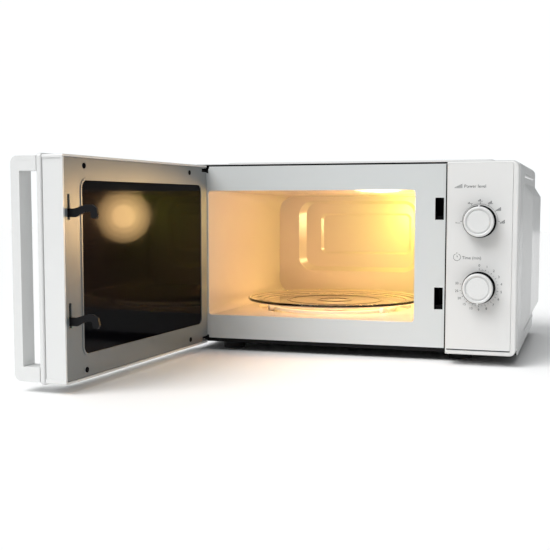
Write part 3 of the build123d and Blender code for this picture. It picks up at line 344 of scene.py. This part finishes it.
def metalMaterial(name, color, shade, stretch, low=0.22, high=0.42, bump=0.05, **uniform):
    material = finishMaterial(name, color, shade, tone=14.0, amount=0.5, bump=0.0, **uniform)
    tree = material.node_tree
    shader = tree.nodes["Principled BSDF"]
    shader.inputs["Metallic"].default_value = 1.0
    lines = placeGroup(tree, brushedLines, Stretch=stretch, Low=low, High=high)
    tree.links.new(lines.outputs["Roughness"], shader.inputs["Roughness"])
    relief = addNode(tree, "ShaderNodeBump", Strength=bump, Distance=0.0003)
    tree.links.new(lines.outputs["Height"], relief.inputs["Height"])
    tree.links.new(relief.outputs["Normal"], shader.inputs["Normal"])
    return material


def glassMaterial(name, color, roughness, **uniform):
    material = bpy.data.materials.new(name)
    material.use_nodes = True
    tree = material.node_tree
    shader = tree.nodes["Principled BSDF"]
    drift = placeGroup(tree, toneDrift, Color=color, Shade=tuple(0.94 * part for part in color[:3]) + (1,),
                       Scale=12.0, Amount=0.3)
    tree.links.new(drift.outputs["Color"], shader.inputs["Base Color"])
    grain = placeGroup(tree, fineTooth, Scale=160.0, Low=roughness, High=roughness + 0.02, Smears=0.03)
    tree.links.new(grain.outputs["Roughness"], shader.inputs["Roughness"])
    shader.inputs["Transmission Weight"].default_value = 1.0
    shader.inputs["IOR"].default_value = 1.5
    for key, value in uniform.items():
        shader.inputs[key.replace("_", " ")].default_value = value
    return material


looks = {
    "casePaint": finishMaterial("casePaint", rgb(0.72, 0.725, 0.72), rgb(0.68, 0.685, 0.68), tone=5.0,
                                tooth=1400.0, low=0.26, high=0.34, bump=0.05, dust=0.03,
                                Coat_Weight=0.25, Coat_Roughness=0.12),
    "framePaint": finishMaterial("framePaint", rgb(0.645, 0.67, 0.67), rgb(0.605, 0.63, 0.63), tone=6.0,
                                 tooth=1500.0, low=0.3, high=0.38, bump=0.04,
                                 Coat_Weight=0.2, Coat_Roughness=0.15),
    "basePaint": finishMaterial("basePaint", rgb(0.004, 0.004, 0.005), rgb(0.008, 0.008, 0.008),
                                low=0.4, high=0.55, bump=0.08, Specular_IOR_Level=0.15),
    "cavityEnamel": finishMaterial("cavityEnamel", rgb(0.60, 0.525, 0.48), rgb(0.55, 0.47, 0.42), tone=8.0,
                                   tooth=700.0, low=0.13, high=0.18, smears=0.04, bump=0.03,
                                   Specular_IOR_Level=0.2),
    "whitePlastic": finishMaterial("whitePlastic", rgb(0.74, 0.745, 0.74), rgb(0.70, 0.705, 0.70), tone=7.0,
                                   tooth=2200.0, low=0.28, high=0.36, bump=0.03, dust=0.02,
                                   Coat_Weight=0.15, Coat_Roughness=0.2),
    "panelPlastic": finishMaterial("panelPlastic", rgb(0.74, 0.74, 0.73), rgb(0.71, 0.71, 0.70), tone=7.0,
                                   tooth=2600.0, low=0.38, high=0.46, bump=0.05),
    "knobPlastic": finishMaterial("knobPlastic", rgb(0.72, 0.725, 0.72), rgb(0.68, 0.685, 0.68), tone=40.0,
                                  tooth=2600.0, low=0.22, high=0.3, bump=0.02,
                                  Coat_Weight=0.4, Coat_Roughness=0.08),
    "plateGrey": finishMaterial("plateGrey", rgb(0.165, 0.185, 0.195), rgb(0.13, 0.148, 0.156), tone=5.0,
                                tooth=1500.0, low=0.3, high=0.38, bump=0.04,
                                Metallic=0.1, Coat_Weight=0.2, Coat_Roughness=0.25),
    "blackGlass": finishMaterial("blackGlass", rgb(0.002, 0.002, 0.003), rgb(0.004, 0.004, 0.005), tone=4.0,
                                 tooth=90.0, low=0.05, high=0.07, smears=0.03, bump=0.0,
                                 Specular_IOR_Level=0.025),
    "blackPlastic": finishMaterial("blackPlastic", rgb(0.004, 0.004, 0.005), rgb(0.009, 0.009, 0.010),
                                   tooth=2400.0, low=0.36, high=0.48, bump=0.06, Specular_IOR_Level=0.16),
    "rubber": finishMaterial("rubber", rgb(0.012, 0.012, 0.012), rgb(0.022, 0.022, 0.021),
                             tooth=1800.0, low=0.6, high=0.75, bump=0.12, dust=0.05),
    "greyPlastic": finishMaterial("greyPlastic", rgb(0.35, 0.35, 0.36), rgb(0.30, 0.30, 0.31),
                                  low=0.4, high=0.5),
    "naturalPlastic": finishMaterial("naturalPlastic", rgb(0.66, 0.63, 0.56), rgb(0.60, 0.57, 0.50),
                                     tooth=1600.0, low=0.35, high=0.48, bump=0.05, Subsurface_Weight=0.1,
                                     Subsurface_Scale=0.003),
    "mica": finishMaterial("mica", rgb(0.52, 0.45, 0.34), rgb(0.40, 0.33, 0.23), tone=60.0, amount=0.8,
                           tooth=500.0, low=0.4, high=0.6, bump=0.2),
    "boardBrown": finishMaterial("boardBrown", rgb(0.24, 0.16, 0.07), rgb(0.18, 0.12, 0.05),
                                 low=0.4, high=0.5),
    # black with no sheen: painted shade in the frame's gaps and the door's screw holes, and round the knobs
    "knobShadow": finishMaterial("knobShadow", rgb(0.005, 0.005, 0.006), rgb(0.012, 0.012, 0.013),
                                 tooth=1200.0, low=0.7, high=0.85, bump=0.05, Specular_IOR_Level=0.0),
    "pointerWhite": finishMaterial("pointerWhite", rgb(0.86, 0.86, 0.86), rgb(0.82, 0.82, 0.82),
                                   tooth=2200.0, low=0.3, high=0.4, bump=0.0),
    # dark grey for the panel's print, also used for the painted shadow line along the panel's lower edge
    "printAndShadeGrey": finishMaterial("printAndShadeGrey", rgb(0.035, 0.042, 0.046), rgb(0.06, 0.07, 0.075), tone=300.0,
                                low=0.5, high=0.6, bump=0.0, Specular_IOR_Level=0.2),
    "zincSheet": metalMaterial("zincSheet", rgb(0.56, 0.57, 0.58), rgb(0.45, 0.46, 0.48),
                               (60.0, 60.0, 60.0), low=0.3, high=0.5),
    "brightSteel": metalMaterial("brightSteel", rgb(0.62, 0.62, 0.61), rgb(0.52, 0.52, 0.52),
                                 (30.0, 1200.0, 1200.0), low=0.18, high=0.32),
    "aluminium": metalMaterial("aluminium", rgb(0.74, 0.74, 0.75), rgb(0.62, 0.62, 0.63),
                               (800.0, 800.0, 40.0)),
    "copper": metalMaterial("copper", rgb(0.60, 0.26, 0.12), rgb(0.42, 0.17, 0.08),
                            (40.0, 40.0, 2600.0), low=0.25, high=0.45, bump=0.4),
    "laminations": metalMaterial("laminations", rgb(0.16, 0.16, 0.17), rgb(0.09, 0.09, 0.10),
                                 (40.0, 2200.0, 40.0), low=0.4, high=0.6, bump=0.35),
    "trayGlass": glassMaterial("trayGlass", rgb(1.0, 0.94, 0.85), 0.0, IOR=1.45),
    "smokedGlass": glassMaterial("smokedGlass", rgb(0.10, 0.10, 0.105), 0.02, Coat_Weight=1.0,
                                 Coat_Roughness=0.01),
    "bulbGlass": glassMaterial("bulbGlass", rgb(1.0, 0.95, 0.86), 0.05, Emission_Color=rgb(1.0, 0.72, 0.38),
                               Emission_Strength=6.0),
}
print("materials built")

nodeLooks = {
    "casePaint": ["outer_case"],
    "framePaint": ["front_frame"],
    "basePaint": ["base_plate"],
    "zincSheet": ["back_panel", "waveguide", "magnetron_yoke", "capacitor_clamp", "hinge_pins"],
    "cavityEnamel": ["oven_cavity"],
    "whitePlastic": ["door_frame", "door_cover", "handle_inner", "handle_outer"],
    "panelPlastic": ["control_housing", "control_fascia"],
    "knobPlastic": ["power_knob", "power_knob_cap", "timer_knob", "timer_knob_cap"],
    "plateGrey": ["inner_plate"],
    "blackGlass": ["inner_window"],
    "smokedGlass": ["door_glass"],
    "trayGlass": ["glass_tray"],
    "bulbGlass": ["lamp_bulb"],
    "blackPlastic": ["latch_bar", "fan_blade", "fan_shroud", "door_screws", "interlock_switches",
                     "cord_gland", "latch_board"],
    "brightSteel": ["hinge_brackets", "foot_screws", "case_screws", "timer_bell", "latch_spring"],
    "rubber": ["feet"],
    "laminations": ["transformer_core", "fan_motor"],
    "copper": ["transformer_windings", "magnetron_tube"],
    "aluminium": ["hv_capacitor", "magnetron_fins", "choke_panel", "turntable_motor"],
    "mica": ["waveguide_cover"],
    "greyPlastic": ["power_switch", "timer_unit", "power_shaft", "timer_shaft", "lamp_holder", "hv_diode",
                    "thermal_cutout"],
    "naturalPlastic": ["turntable_coupler", "roller_ring", "roller_1", "roller_2", "roller_3", "door_bushes"],
    "boardBrown": ["filter_board"],
}
for look, names in nodeLooks.items():
    for name in names:
        for holder in nodes[name].material_slots:
            holder.material = looks[look]
print("CAD nodes finished")

# softened sheet and moulded pieces: each copy of a CAD shape gets its real edge rounding,
# as (width in mm, segments, from angle, to angle)
softEdges = {
    "outer_case": ("oven", "casePaint", "case_paint", [(1.8, 4, 8, 60), (0.3, 2, 60, 180)]),
    "front_frame": ("oven", "framePaint", "frame_paint", [(0.3, 2, 40, 180)]),
    "control_housing": ("oven", "panelPlastic", "panel_plastic", [(0.9, 4, 40, 180)]),
    "control_fascia": ("oven", "panelPlastic", "panel_plastic", [(0.5, 3, 40, 180)]),
    "door_frame": ("door", "whitePlastic", "white_plastic", [(0.6, 3, 40, 180)]),
    "door_cover": ("door", "whitePlastic", "white_plastic", [(0.7, 4, 40, 180)]),
    "handle_inner": ("door", "whitePlastic", "white_plastic", [(0.7, 3, 40, 180)]),
    "handle_outer": ("door", "whitePlastic", "white_plastic", [(0.9, 4, 40, 180)]),
    "inner_plate": ("door", "plateGrey", "plate_grey", [(0.35, 3, 30, 180)]),
    "hinge_brackets": ("oven", "basePaint", "base_paint", [(0.3, 2, 40, 180)]),
    "latch_bar": ("latch", "blackPlastic", "black_plastic", [(1.1, 4, 35, 180)]),
    "feet": ("oven", "rubber", "rubber", [(0.8, 3, 40, 180)]),
    # painted shade: the door screw heads are black with no sheen so the screw holes read dark
    "door_screws": ("door", "knobShadow", "base_paint", [(0.25, 2, 40, 180)]),
}
for node, (body, look, slotName, passes) in softEdges.items():
    piece = cadCopy(node, node + "_soft")
    for width, segments, sharper, softer in passes:
        roundEdges(piece, width * mm, segments, sharper, softer)
    smoothOff(piece)
    finishPiece(piece, body, looks[look], node, slot=slotName)
    print("softened", node, len(piece.data.polygons))


def softProfile(points, steps=4):
    # points are (radius, height, rounding) in mm; a rounding above 0 turns a corner into an arc
    made = []
    for index, (radius, height, cut) in enumerate(points):
        here = Vector((radius, height))
        if not cut:
            made.append(here)
            continue
        before = (Vector(points[index - 1][:2]) - here).normalized() * cut
        after = (Vector(points[index + 1][:2]) - here).normalized() * cut
        for step in range(steps + 1):
            part = step / steps
            made.append(here + before * (1 - part) ** 2 + after * part ** 2)
    return made


def turned(name, points, place, facing="front", sides=96, steps=4):
    # a round piece built up ring by ring from its profile, closed at both ends
    profile = [(max(point[0], 0.001) * mm, point[1] * mm) for point in softProfile(points, steps)]
    deselectAll()
    radius, height = profile[0]
    bpy.ops.mesh.primitive_circle_add(vertices=sides, radius=radius, fill_type="NGON")
    obj = bpy.context.object
    obj.name = name
    bpy.ops.object.mode_set(mode="EDIT")
    bpy.ops.mesh.select_mode(type="FACE")
    bpy.ops.mesh.select_all(action="SELECT")
    bpy.ops.transform.translate(value=(0, 0, height))
    for nextRadius, nextHeight in profile[1:]:
        bpy.ops.mesh.extrude_region_move(TRANSFORM_OT_translate={"value": (0, 0, nextHeight - height)})
        grow = nextRadius / radius
        bpy.ops.transform.resize(value=(grow, grow, 1), center_override=(0, 0, nextHeight))
        radius, height = nextRadius, nextHeight
    bpy.ops.mesh.select_all(action="SELECT")
    bpy.ops.mesh.remove_doubles(threshold=4e-6)
    bpy.ops.mesh.normals_make_consistent(inside=False)
    bpy.ops.object.mode_set(mode="OBJECT")
    if facing == "front":
        obj.rotation_euler = (math.pi / 2, 0, 0)
    obj.location = place
    return applyPlace(obj)


def roundedBlock(name, size, place, rounding, segments=3, turn=0.0):
    # a small block, size in mm, turned about the front-to-back axis through its centre
    deselectAll()
    bpy.ops.mesh.primitive_cube_add(size=1.0, location=place, rotation=(0, turn, 0))
    obj = bpy.context.object
    obj.name = name
    obj.scale = [side * mm for side in size]
    applyPlace(obj)
    if rounding:
        roundEdges(obj, rounding * mm, segments)
    return obj


# knobs
fasciaLow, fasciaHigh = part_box("control_fascia")
fasciaFace = fasciaLow.y
knob = {
    "wall": [(0, 1.0, 0), (19.9, 1.0, 0.5), (19.9, 4.0, 0), (19.1, 15.2, 0.3), (18.3, 15.6, 0), (0, 15.6, 0)],
    "bezel": [(0, 13.8, 0), (18.3, 13.8, 0), (18.6, 14.2, 0.3), (18.45, 16.7, 1.2), (17.3, 17.95, 0.8),
              (15.9, 17.95, 0.5), (14.6, 16.5, 0.3), (14.3, 15.9, 0), (0, 15.9, 0)],
    "cap": [(0, 15.6, 0), (13.6, 15.6, 0), (13.6, 16.9, 0.5), (12.6, 17.3, 0.8), (0, 17.5, 0)],
    "pointer": (1.6, 12.8, 1.9),
    "pointerDepth": 11.2,
    "pointerReach": 18.9,
    "smooth": 50,
}
for dial, upright in (("power", 1.0), ("timer", -1.0)):
    middle = centreOf(dial + "_knob")
    seat = (middle.x, fasciaFace, middle.z)
    # black side wall with no sheen: partly the knob's own dark side, partly painted shade for the dark ring
    # round each knob
    wall = turned(dial + "_knobWall", knob["wall"], seat)
    smoothOff(wall)
    finishPiece(wall, dial + "_dial", looks["knobShadow"], slot="black_plastic")
    bezel = turned(dial + "_knobBezel", knob["bezel"], seat, steps=6)
    smoothOff(bezel, knob["smooth"])
    finishPiece(bezel, dial + "_dial", looks["knobPlastic"], dial + "_knob", slot="knob_plastic")
    cap = turned(dial + "_knobFace", knob["cap"], seat, steps=6)
    smoothOff(cap, knob["smooth"])
    finishPiece(cap, dial + "_dial", looks["knobPlastic"], dial + "_knob_cap", slot="knob_plastic")
    pointer = roundedBlock(dial + "_pointer", knob["pointer"],
                           (middle.x, fasciaFace - knob["pointerDepth"] * mm,
                            middle.z + upright * knob["pointerReach"] * mm), 0.3)
    smoothOff(pointer)
    finishPiece(pointer, dial + "_dial", looks["pointerWhite"], slot="knob_plastic")
print("knobs made")

# printing on the control panel, with a painted shadow line along its lower edge
printing = {"depth": 0.06, "middle": 0.03, "line": 0.42, "text": 4.3, "sides": 180}
markParts = []


def markStroke(place, length, width, turn=0.0):
    # a straight mark centred on (x, z) in mm, upright when turn is 0 and leaning right as it grows
    x, z = place
    stroke = roundedBlock("stroke", (width, printing["depth"], length),
                          (x * mm, fasciaFace - printing["middle"] * mm, z * mm), 0, turn=turn)
    markParts.append(stroke)


def printArc(place, radius, start, end, width):
    # clock angles in degrees, 0 at the top and growing to the right
    deselectAll()
    bpy.ops.mesh.primitive_circle_add(vertices=printing["sides"], radius=radius * mm, fill_type="NOTHING")
    ring = bpy.context.object
    bpy.ops.object.mode_set(mode="EDIT")
    bpy.ops.mesh.select_mode(type="VERT")
    mesh = bmesh.from_edit_mesh(ring.data)
    span = (end - start) % 360 or 360
    for vert in mesh.verts:
        clock = math.degrees(math.atan2(vert.co.x, vert.co.y)) - start
        vert.select = span < 360 and clock % 360 > span
    mesh.select_flush(True)
    bmesh.update_edit_mesh(ring.data)
    if span < 360:
        bpy.ops.mesh.delete(type="VERT")
    bpy.ops.mesh.select_all(action="SELECT")
    bpy.ops.mesh.extrude_region_move()
    grow = (radius + width) / radius
    bpy.ops.transform.resize(value=(grow, grow, 1), center_override=(0, 0, 0))
    bpy.ops.mesh.select_all(action="SELECT")
    bpy.ops.mesh.normals_make_consistent(inside=False)
    bpy.ops.object.mode_set(mode="OBJECT")
    thick = ring.modifiers.new("thick", "SOLIDIFY")
    thick.thickness = printing["depth"] * mm
    thick.offset = 0
    pick(ring)
    bpy.ops.object.modifier_apply(modifier=thick.name)
    ring.rotation_euler = (math.pi / 2, 0, 0)
    ring.location = (place[0] * mm, fasciaFace - printing["middle"] * mm, place[1] * mm)
    applyPlace(ring)
    markParts.append(ring)


def printText(words, place, size, align="CENTER"):
    deselectAll()
    bpy.ops.object.text_add(location=(0, 0, 0))
    text = bpy.context.object
    text.data.body = words
    text.data.size = size * mm
    text.data.align_x = align
    text.data.align_y = "CENTER"
    text.data.extrude = printing["depth"] / 2 * mm
    text.data.resolution_u = 3
    bpy.ops.object.convert(target="MESH")
    text = bpy.context.object
    text.rotation_euler = (math.pi / 2, 0, 0)
    text.location = (place[0] * mm, fasciaFace - printing["middle"] * mm, place[1] * mm)
    applyPlace(text)
    markParts.append(text)


def aroundDial(centre, radius, clock):
    turn = math.radians(clock)
    return centre[0] + radius * math.sin(turn), centre[1] + radius * math.cos(turn)


timer = centreOf("timer_knob") / mm
power = centreOf("power_knob") / mm
timerSpot = (timer.x, timer.z)
powerSpot = (power.x, power.z)
timerScale = {
    "numbers": ["0", "1", "2", "3", "4", "5", "6", "7", "8", "9", "10", "15", "20", "25", "30"],
    "step": 20.0, "radius": 27.4, "ticks": 22.9, "tickLength": 1.9,
    "halfTicks": 22.6, "halfLength": 1.0, "halfWidth": 0.336, "arc": 21.4, "arcWidth": 0.25,
}
for index, number in enumerate(timerScale["numbers"]):
    clock = index * timerScale["step"]
    spot = aroundDial(timerSpot, timerScale["radius"], clock)
    printText(number, spot, printing["text"])
    mark = aroundDial(timerSpot, timerScale["ticks"], clock)
    markStroke(mark, timerScale["tickLength"], printing["line"], math.radians(clock))
    if 0 < index < len(timerScale["numbers"]) - 1:
        between = clock - timerScale["step"] / 2
        markStroke(aroundDial(timerSpot, timerScale["halfTicks"], between), timerScale["halfLength"],
                    timerScale["halfWidth"], math.radians(between))
printArc(timerSpot, timerScale["arc"], 0, timerScale["step"], timerScale["arcWidth"])

powerScale = {
    "stops": [-90, -27, 0, 27, 55, 90], "radius": 26.8, "ticks": 22.8, "tickLength": 2.2,
    "arc": 21.4, "arcWidth": 0.25,
    "bars": 5, "barPitch": 1.2, "barWidth": 0.7, "barLow": 0.7, "barRise": 0.75,
    "barLeft": 2.4, "barFoot": 1.6, "signLine": (0.4, 5.8), "signDrop": 2.0,
}
printArc(powerSpot, powerScale["arc"], -90, 90, powerScale["arcWidth"])
for index, clock in enumerate(powerScale["stops"]):
    mark = aroundDial(powerSpot, powerScale["ticks"], clock)
    markStroke(mark, powerScale["tickLength"], printing["line"], math.radians(clock))
    x, z = aroundDial(powerSpot, powerScale["radius"], clock)
    # a small bar sign that fills up with the heating level
    markStroke((x, z - powerScale["signDrop"]), *powerScale["signLine"])
    for bar in range(min(powerScale["bars"], index + 1)):
        tall = powerScale["barLow"] + powerScale["barRise"] * bar
        barX = x - powerScale["barLeft"] + powerScale["barPitch"] * bar
        markStroke((barX, z - powerScale["barFoot"] + tall / 2), tall, powerScale["barWidth"])

# rising wedge for the power label
wedge = {"left": 143.6, "foot": 221.2, "bars": 9, "pitch": 1.05, "low": 0.5, "rise": 0.5, "width": 0.5,
         "line": ((147.8, 220.8), 0.3, 9.6), "words": ("Power level", (154.6, 222.6), 5.6, "LEFT")}
for bar in range(wedge["bars"]):
    tall = wedge["low"] + wedge["rise"] * bar
    markStroke((wedge["left"] + wedge["pitch"] * bar, wedge["foot"] + tall / 2), tall, wedge["width"])
markStroke(*wedge["line"])
printText(*wedge["words"])

# clock for the timer label: each stroke is (right, up, length, width, turn in degrees)
clockSign = {"spot": (147.2, 135.6), "ring": (4.1, 22, 338, 0.45),
             "strokes": [(0, 1.3, 2.9, 0.4, 0), (-0.2, 5.1, 1.2, 0.8, 0), (0.6, 0.4, 1.6, 0.35, 50)],
             "words": ("Time (min)", (153.4, 134.8), 5.2, "LEFT")}
clockX, clockZ = clockSign["spot"]
printArc(clockSign["spot"], *clockSign["ring"])
for right, up, length, width, turn in clockSign["strokes"]:
    markStroke((clockX + right, clockZ + up), length, width, math.radians(turn))
printText(*clockSign["words"])

# painted shadow: a narrow dark line printed where the plate ends above the housing's lip, standing in for the
# shade in the gap there
lipLine = {"rise": 0.9, "height": 1.3, "inset": 0.6}
markStroke(((fasciaLow.x + fasciaHigh.x) / 2 / mm, fasciaLow.z / mm + lipLine["rise"]), lipLine["height"],
            (fasciaHigh.x - fasciaLow.x) / mm - lipLine["inset"])
printed = joinAll(markParts, "panel_print_and_shade_line")
finishPiece(printed, "oven", looks["printAndShadeGrey"], slot="black_plastic")
print("panel printed")

# painted shade: black strips in the gap above the front frame and beside the control panel darken the frame's
# open edges where shade falls, with a dark block behind the frame's top-left corner
frameLow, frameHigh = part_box("front_frame")
housingLow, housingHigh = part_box("control_housing")
# sizes and offsets in mm
lid = {"gap": 2.0, "depth": 3.0, "place": 2.0, "short": 6.0, "rounding": 0.3}
side = {"width": 1.7, "depth": 0.5, "place": -0.27, "left": 4.6, "short": 3.0, "rounding": 0.15}
corner = {"size": (24.0, 1.0, 13.0), "right": 14.0, "place": 5.2, "down": 5.0, "rounding": 0.3}
lidShadeStrip = roundedBlock("lid_shade_strip",
                       (housingLow.x / mm - frameLow.x / mm - lid["short"], lid["depth"], lid["gap"]),
                       ((housingLow.x + frameLow.x) / 2, lid["place"] * mm,
                        frameHigh.z + lid["gap"] / 2 * mm), lid["rounding"], 2)
sideShadeStrip = roundedBlock("side_shade_strip",
                        (side["width"], side["depth"], (housingHigh.z - housingLow.z) / mm - side["short"]),
                        (housingLow.x - side["left"] * mm, side["place"] * mm,
                         (housingHigh.z + housingLow.z) / 2), side["rounding"], 2)
cornerDarkBlock = roundedBlock("corner_dark_block", corner["size"],
                          (frameLow.x + corner["right"] * mm, corner["place"] * mm,
                           frameHigh.z - corner["down"] * mm), corner["rounding"], 2)
frameDarkStrips = joinAll([lidShadeStrip, sideShadeStrip, cornerDarkBlock], "frame_dark_strips")
smoothOff(frameDarkStrips)
finishPiece(frameDarkStrips, "oven", looks["knobShadow"], slot="rubber")

# turntable glass
# (radius, height, rounding) in mm: flat base, upturned rim, and two raised rings on the upper face
trayOutline = [
    (0, 56.8, 0), (98.0, 56.8, 1.0), (104.0, 57.3, 1.5), (112.0, 58.2, 2.0), (121.5, 59.7, 1.5),
    (127.5, 61.8, 1.6), (127.5, 65.3, 1.5), (124.4, 65.3, 1.3), (121.4, 63.3, 1.5), (112.5, 61.4, 1.6),
    (105.5, 61.2, 0.8), (104.0, 60.4, 0.8), (70.0, 60.3, 0.6), (68.8, 60.9, 0.5), (66.6, 60.9, 0.5),
    (65.4, 60.3, 0.6), (26.0, 60.2, 0.5), (25.0, 60.8, 0.4), (23.0, 60.8, 0.4), (22.0, 60.2, 0.5),
    (0, 60.2, 0)]
plate = centreOf("glass_tray")
glass = turned("turntable_glass", trayOutline, (plate.x, plate.y, 0), facing="up", sides=192, steps=4)
smoothOff(glass, 60)
finishPiece(glass, "tray", looks["trayGlass"], "glass_tray", slot="clear_glass")
glass.visible_shadow = False  # lamp light reaches the floor under clear glass
print("turntable glass made")

# coil spring over the latch bar: in the real door its lower end rises with the bar and its upper end stays in
# the door, but this coil is one fixed shape
coil = {"wire": 0.4, "turns": 11, "steps": 18, "gap": 0.1, "sides": 2, "smooth": 60}
springLow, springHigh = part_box("latch_spring")
springAxis = centreOf("latch_spring")
coilRadius = (springHigh.x - springLow.x) / 2 - coil["wire"] * mm
coilFoot = springLow.z + (coil["wire"] + coil["gap"]) * mm
coilTop = springHigh.z - (coil["wire"] + coil["gap"]) * mm
wire = bpy.data.curves.new("latch_coil", "CURVE")
wire.dimensions = "3D"
wire.bevel_depth = coil["wire"] * mm
wire.bevel_resolution = coil["sides"]
wire.use_fill_caps = True
path = wire.splines.new("POLY")
last = coil["turns"] * coil["steps"]
path.points.add(last)
for index in range(last + 1):
    turn = math.tau * index / coil["steps"]
    rise = coilFoot + (coilTop - coilFoot) * index / last
    path.points[index].co = (springAxis.x + coilRadius * math.cos(turn),
                             springAxis.y + coilRadius * math.sin(turn), rise, 1.0)
spring = bpy.data.objects.new("latch_coil", wire)
bpy.context.scene.collection.objects.link(spring)
pick(spring)
bpy.ops.object.convert(target="MESH")
spring = bpy.context.object
spring.data.materials.clear()
spring.data.materials.append(looks["brightSteel"])
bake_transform(spring)
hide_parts("latch_spring")
smoothOff(spring, coil["smooth"])
print("latch spring made")

# lights, floor, camera
stage = {"floorSize": 12.0, "floorShade": rgb(0.94, 0.94, 0.94), "floorRoughness": 0.9,
         "roomColor": rgb(0.965, 0.99, 1.0), "roomLeft": 0.44, "roomRight": 0.22, "roomEdge": 0.7,
         "roomSeen": 1.04}
bpy.ops.mesh.primitive_plane_add(size=stage["floorSize"], location=(0, 0, 0))
floor = bpy.context.object
floor.name = "paleFloor"
floorLook = bpy.data.materials.new("paleFloor")
floorLook.use_nodes = True
floorShader = floorLook.node_tree.nodes["Principled BSDF"]
floorShader.inputs["Base Color"].default_value = stage["floorShade"]
floorShader.inputs["Roughness"].default_value = stage["floorRoughness"]
floor.data.materials.append(floorLook)

# the room lights the left side more than the right, and is plain where the camera sees it
world = bpy.data.worlds.new("paleRoom")
bpy.context.scene.world = world
world.use_nodes = True
room = world.node_tree
backdrop = room.nodes["Background"]
backdrop.inputs["Color"].default_value = stage["roomColor"]
sight = room.nodes.new("ShaderNodeLightPath")
aim = room.nodes.new("ShaderNodeTexCoord")
aimParts = room.nodes.new("ShaderNodeSeparateXYZ")
room.links.new(aim.outputs["Generated"], aimParts.inputs[0])
sideways = ramped(room, aimParts.outputs["X"], -stage["roomEdge"], stage["roomEdge"],
                  stage["roomLeft"], stage["roomRight"])
level = ramped(room, sight.outputs["Is Camera Ray"], 0.0, 1.0, sideways, stage["roomSeen"])
room.links.new(level, backdrop.inputs["Strength"])
bpy.context.scene.view_settings.view_transform = "Standard"


def bulbLight(name, place, power, color, radius):
    light = bpy.data.lights.new(name, "POINT")
    light.energy = power
    light.color = color
    light.shadow_soft_size = radius
    holder = bpy.data.objects.new(name, light)
    holder.location = place
    bpy.context.scene.collection.objects.link(holder)
    return holder


def skyLight(name, elevation, azimuth, power, spread):
    # even light from far off: azimuth 0 comes from the front, and grows to the right
    light = bpy.data.lights.new(name, "SUN")
    light.energy = power
    light.angle = math.radians(spread)
    holder = bpy.data.objects.new(name, light)
    holder.rotation_euler = (math.radians(90 - elevation), 0, math.radians(azimuth))
    bpy.context.scene.collection.objects.link(holder)
    return holder


# suns are (elevation, azimuth, strength, spread in degrees)
suns = {"keyLight": (48, -36, 2.15, 40), "topLight": (80, -20, 0.85, 70)}
for name, aims in suns.items():
    skyLight(name, *aims)
# bulbs are (place, watts, color, radius)
bulbs = {
    "cavityLamp": ((0.022, 0.115, 0.172), 0.50, (1.0, 0.53, 0.31), 0.030),
    "cavityHot": ((0.048, 0.232, 0.182), 0.27, (0.82, 1.0, 0.07), 0.012),
}
for name, bulb in bulbs.items():
    bulbLight(name, *bulb).visible_glossy = False
# the lamp as the door's black window shows it: a warm patch with soft edges, made of {radius: watts}
glow = {"place": (0.018, 0.112, 0.182), "color": (1.0, 0.62, 0.27),
        "rings": {0.018: 0.9, 0.027: 1.3, 0.035: 1.5, 0.042: 1.3}}
for radius, power in glow["rings"].items():
    halo = bulbLight("lampGlow", glow["place"], power, glow["color"], radius)
    halo.visible_diffuse = False
    halo.visible_transmission = False

view = {"place": (0.3027, -1.2384, 0.2015), "tilt": 85.24, "turn": 18.01, "lens": 63.45,
        "sensor": 36.0, "near": 0.02, "shift": (0.001, 0.017)}
camera = bpy.data.cameras.new("camera")
camera.lens = view["lens"]
camera.sensor_width = view["sensor"]
camera.shift_x, camera.shift_y = view["shift"]
camera.clip_start = view["near"]
cameraHolder = bpy.data.objects.new("camera", camera)
cameraHolder.location = view["place"]
cameraHolder.rotation_euler = (math.radians(view["tilt"]), 0, math.radians(view["turn"]))
bpy.context.scene.collection.objects.link(cameraHolder)
bpy.context.scene.camera = cameraHolder
print("stage set")
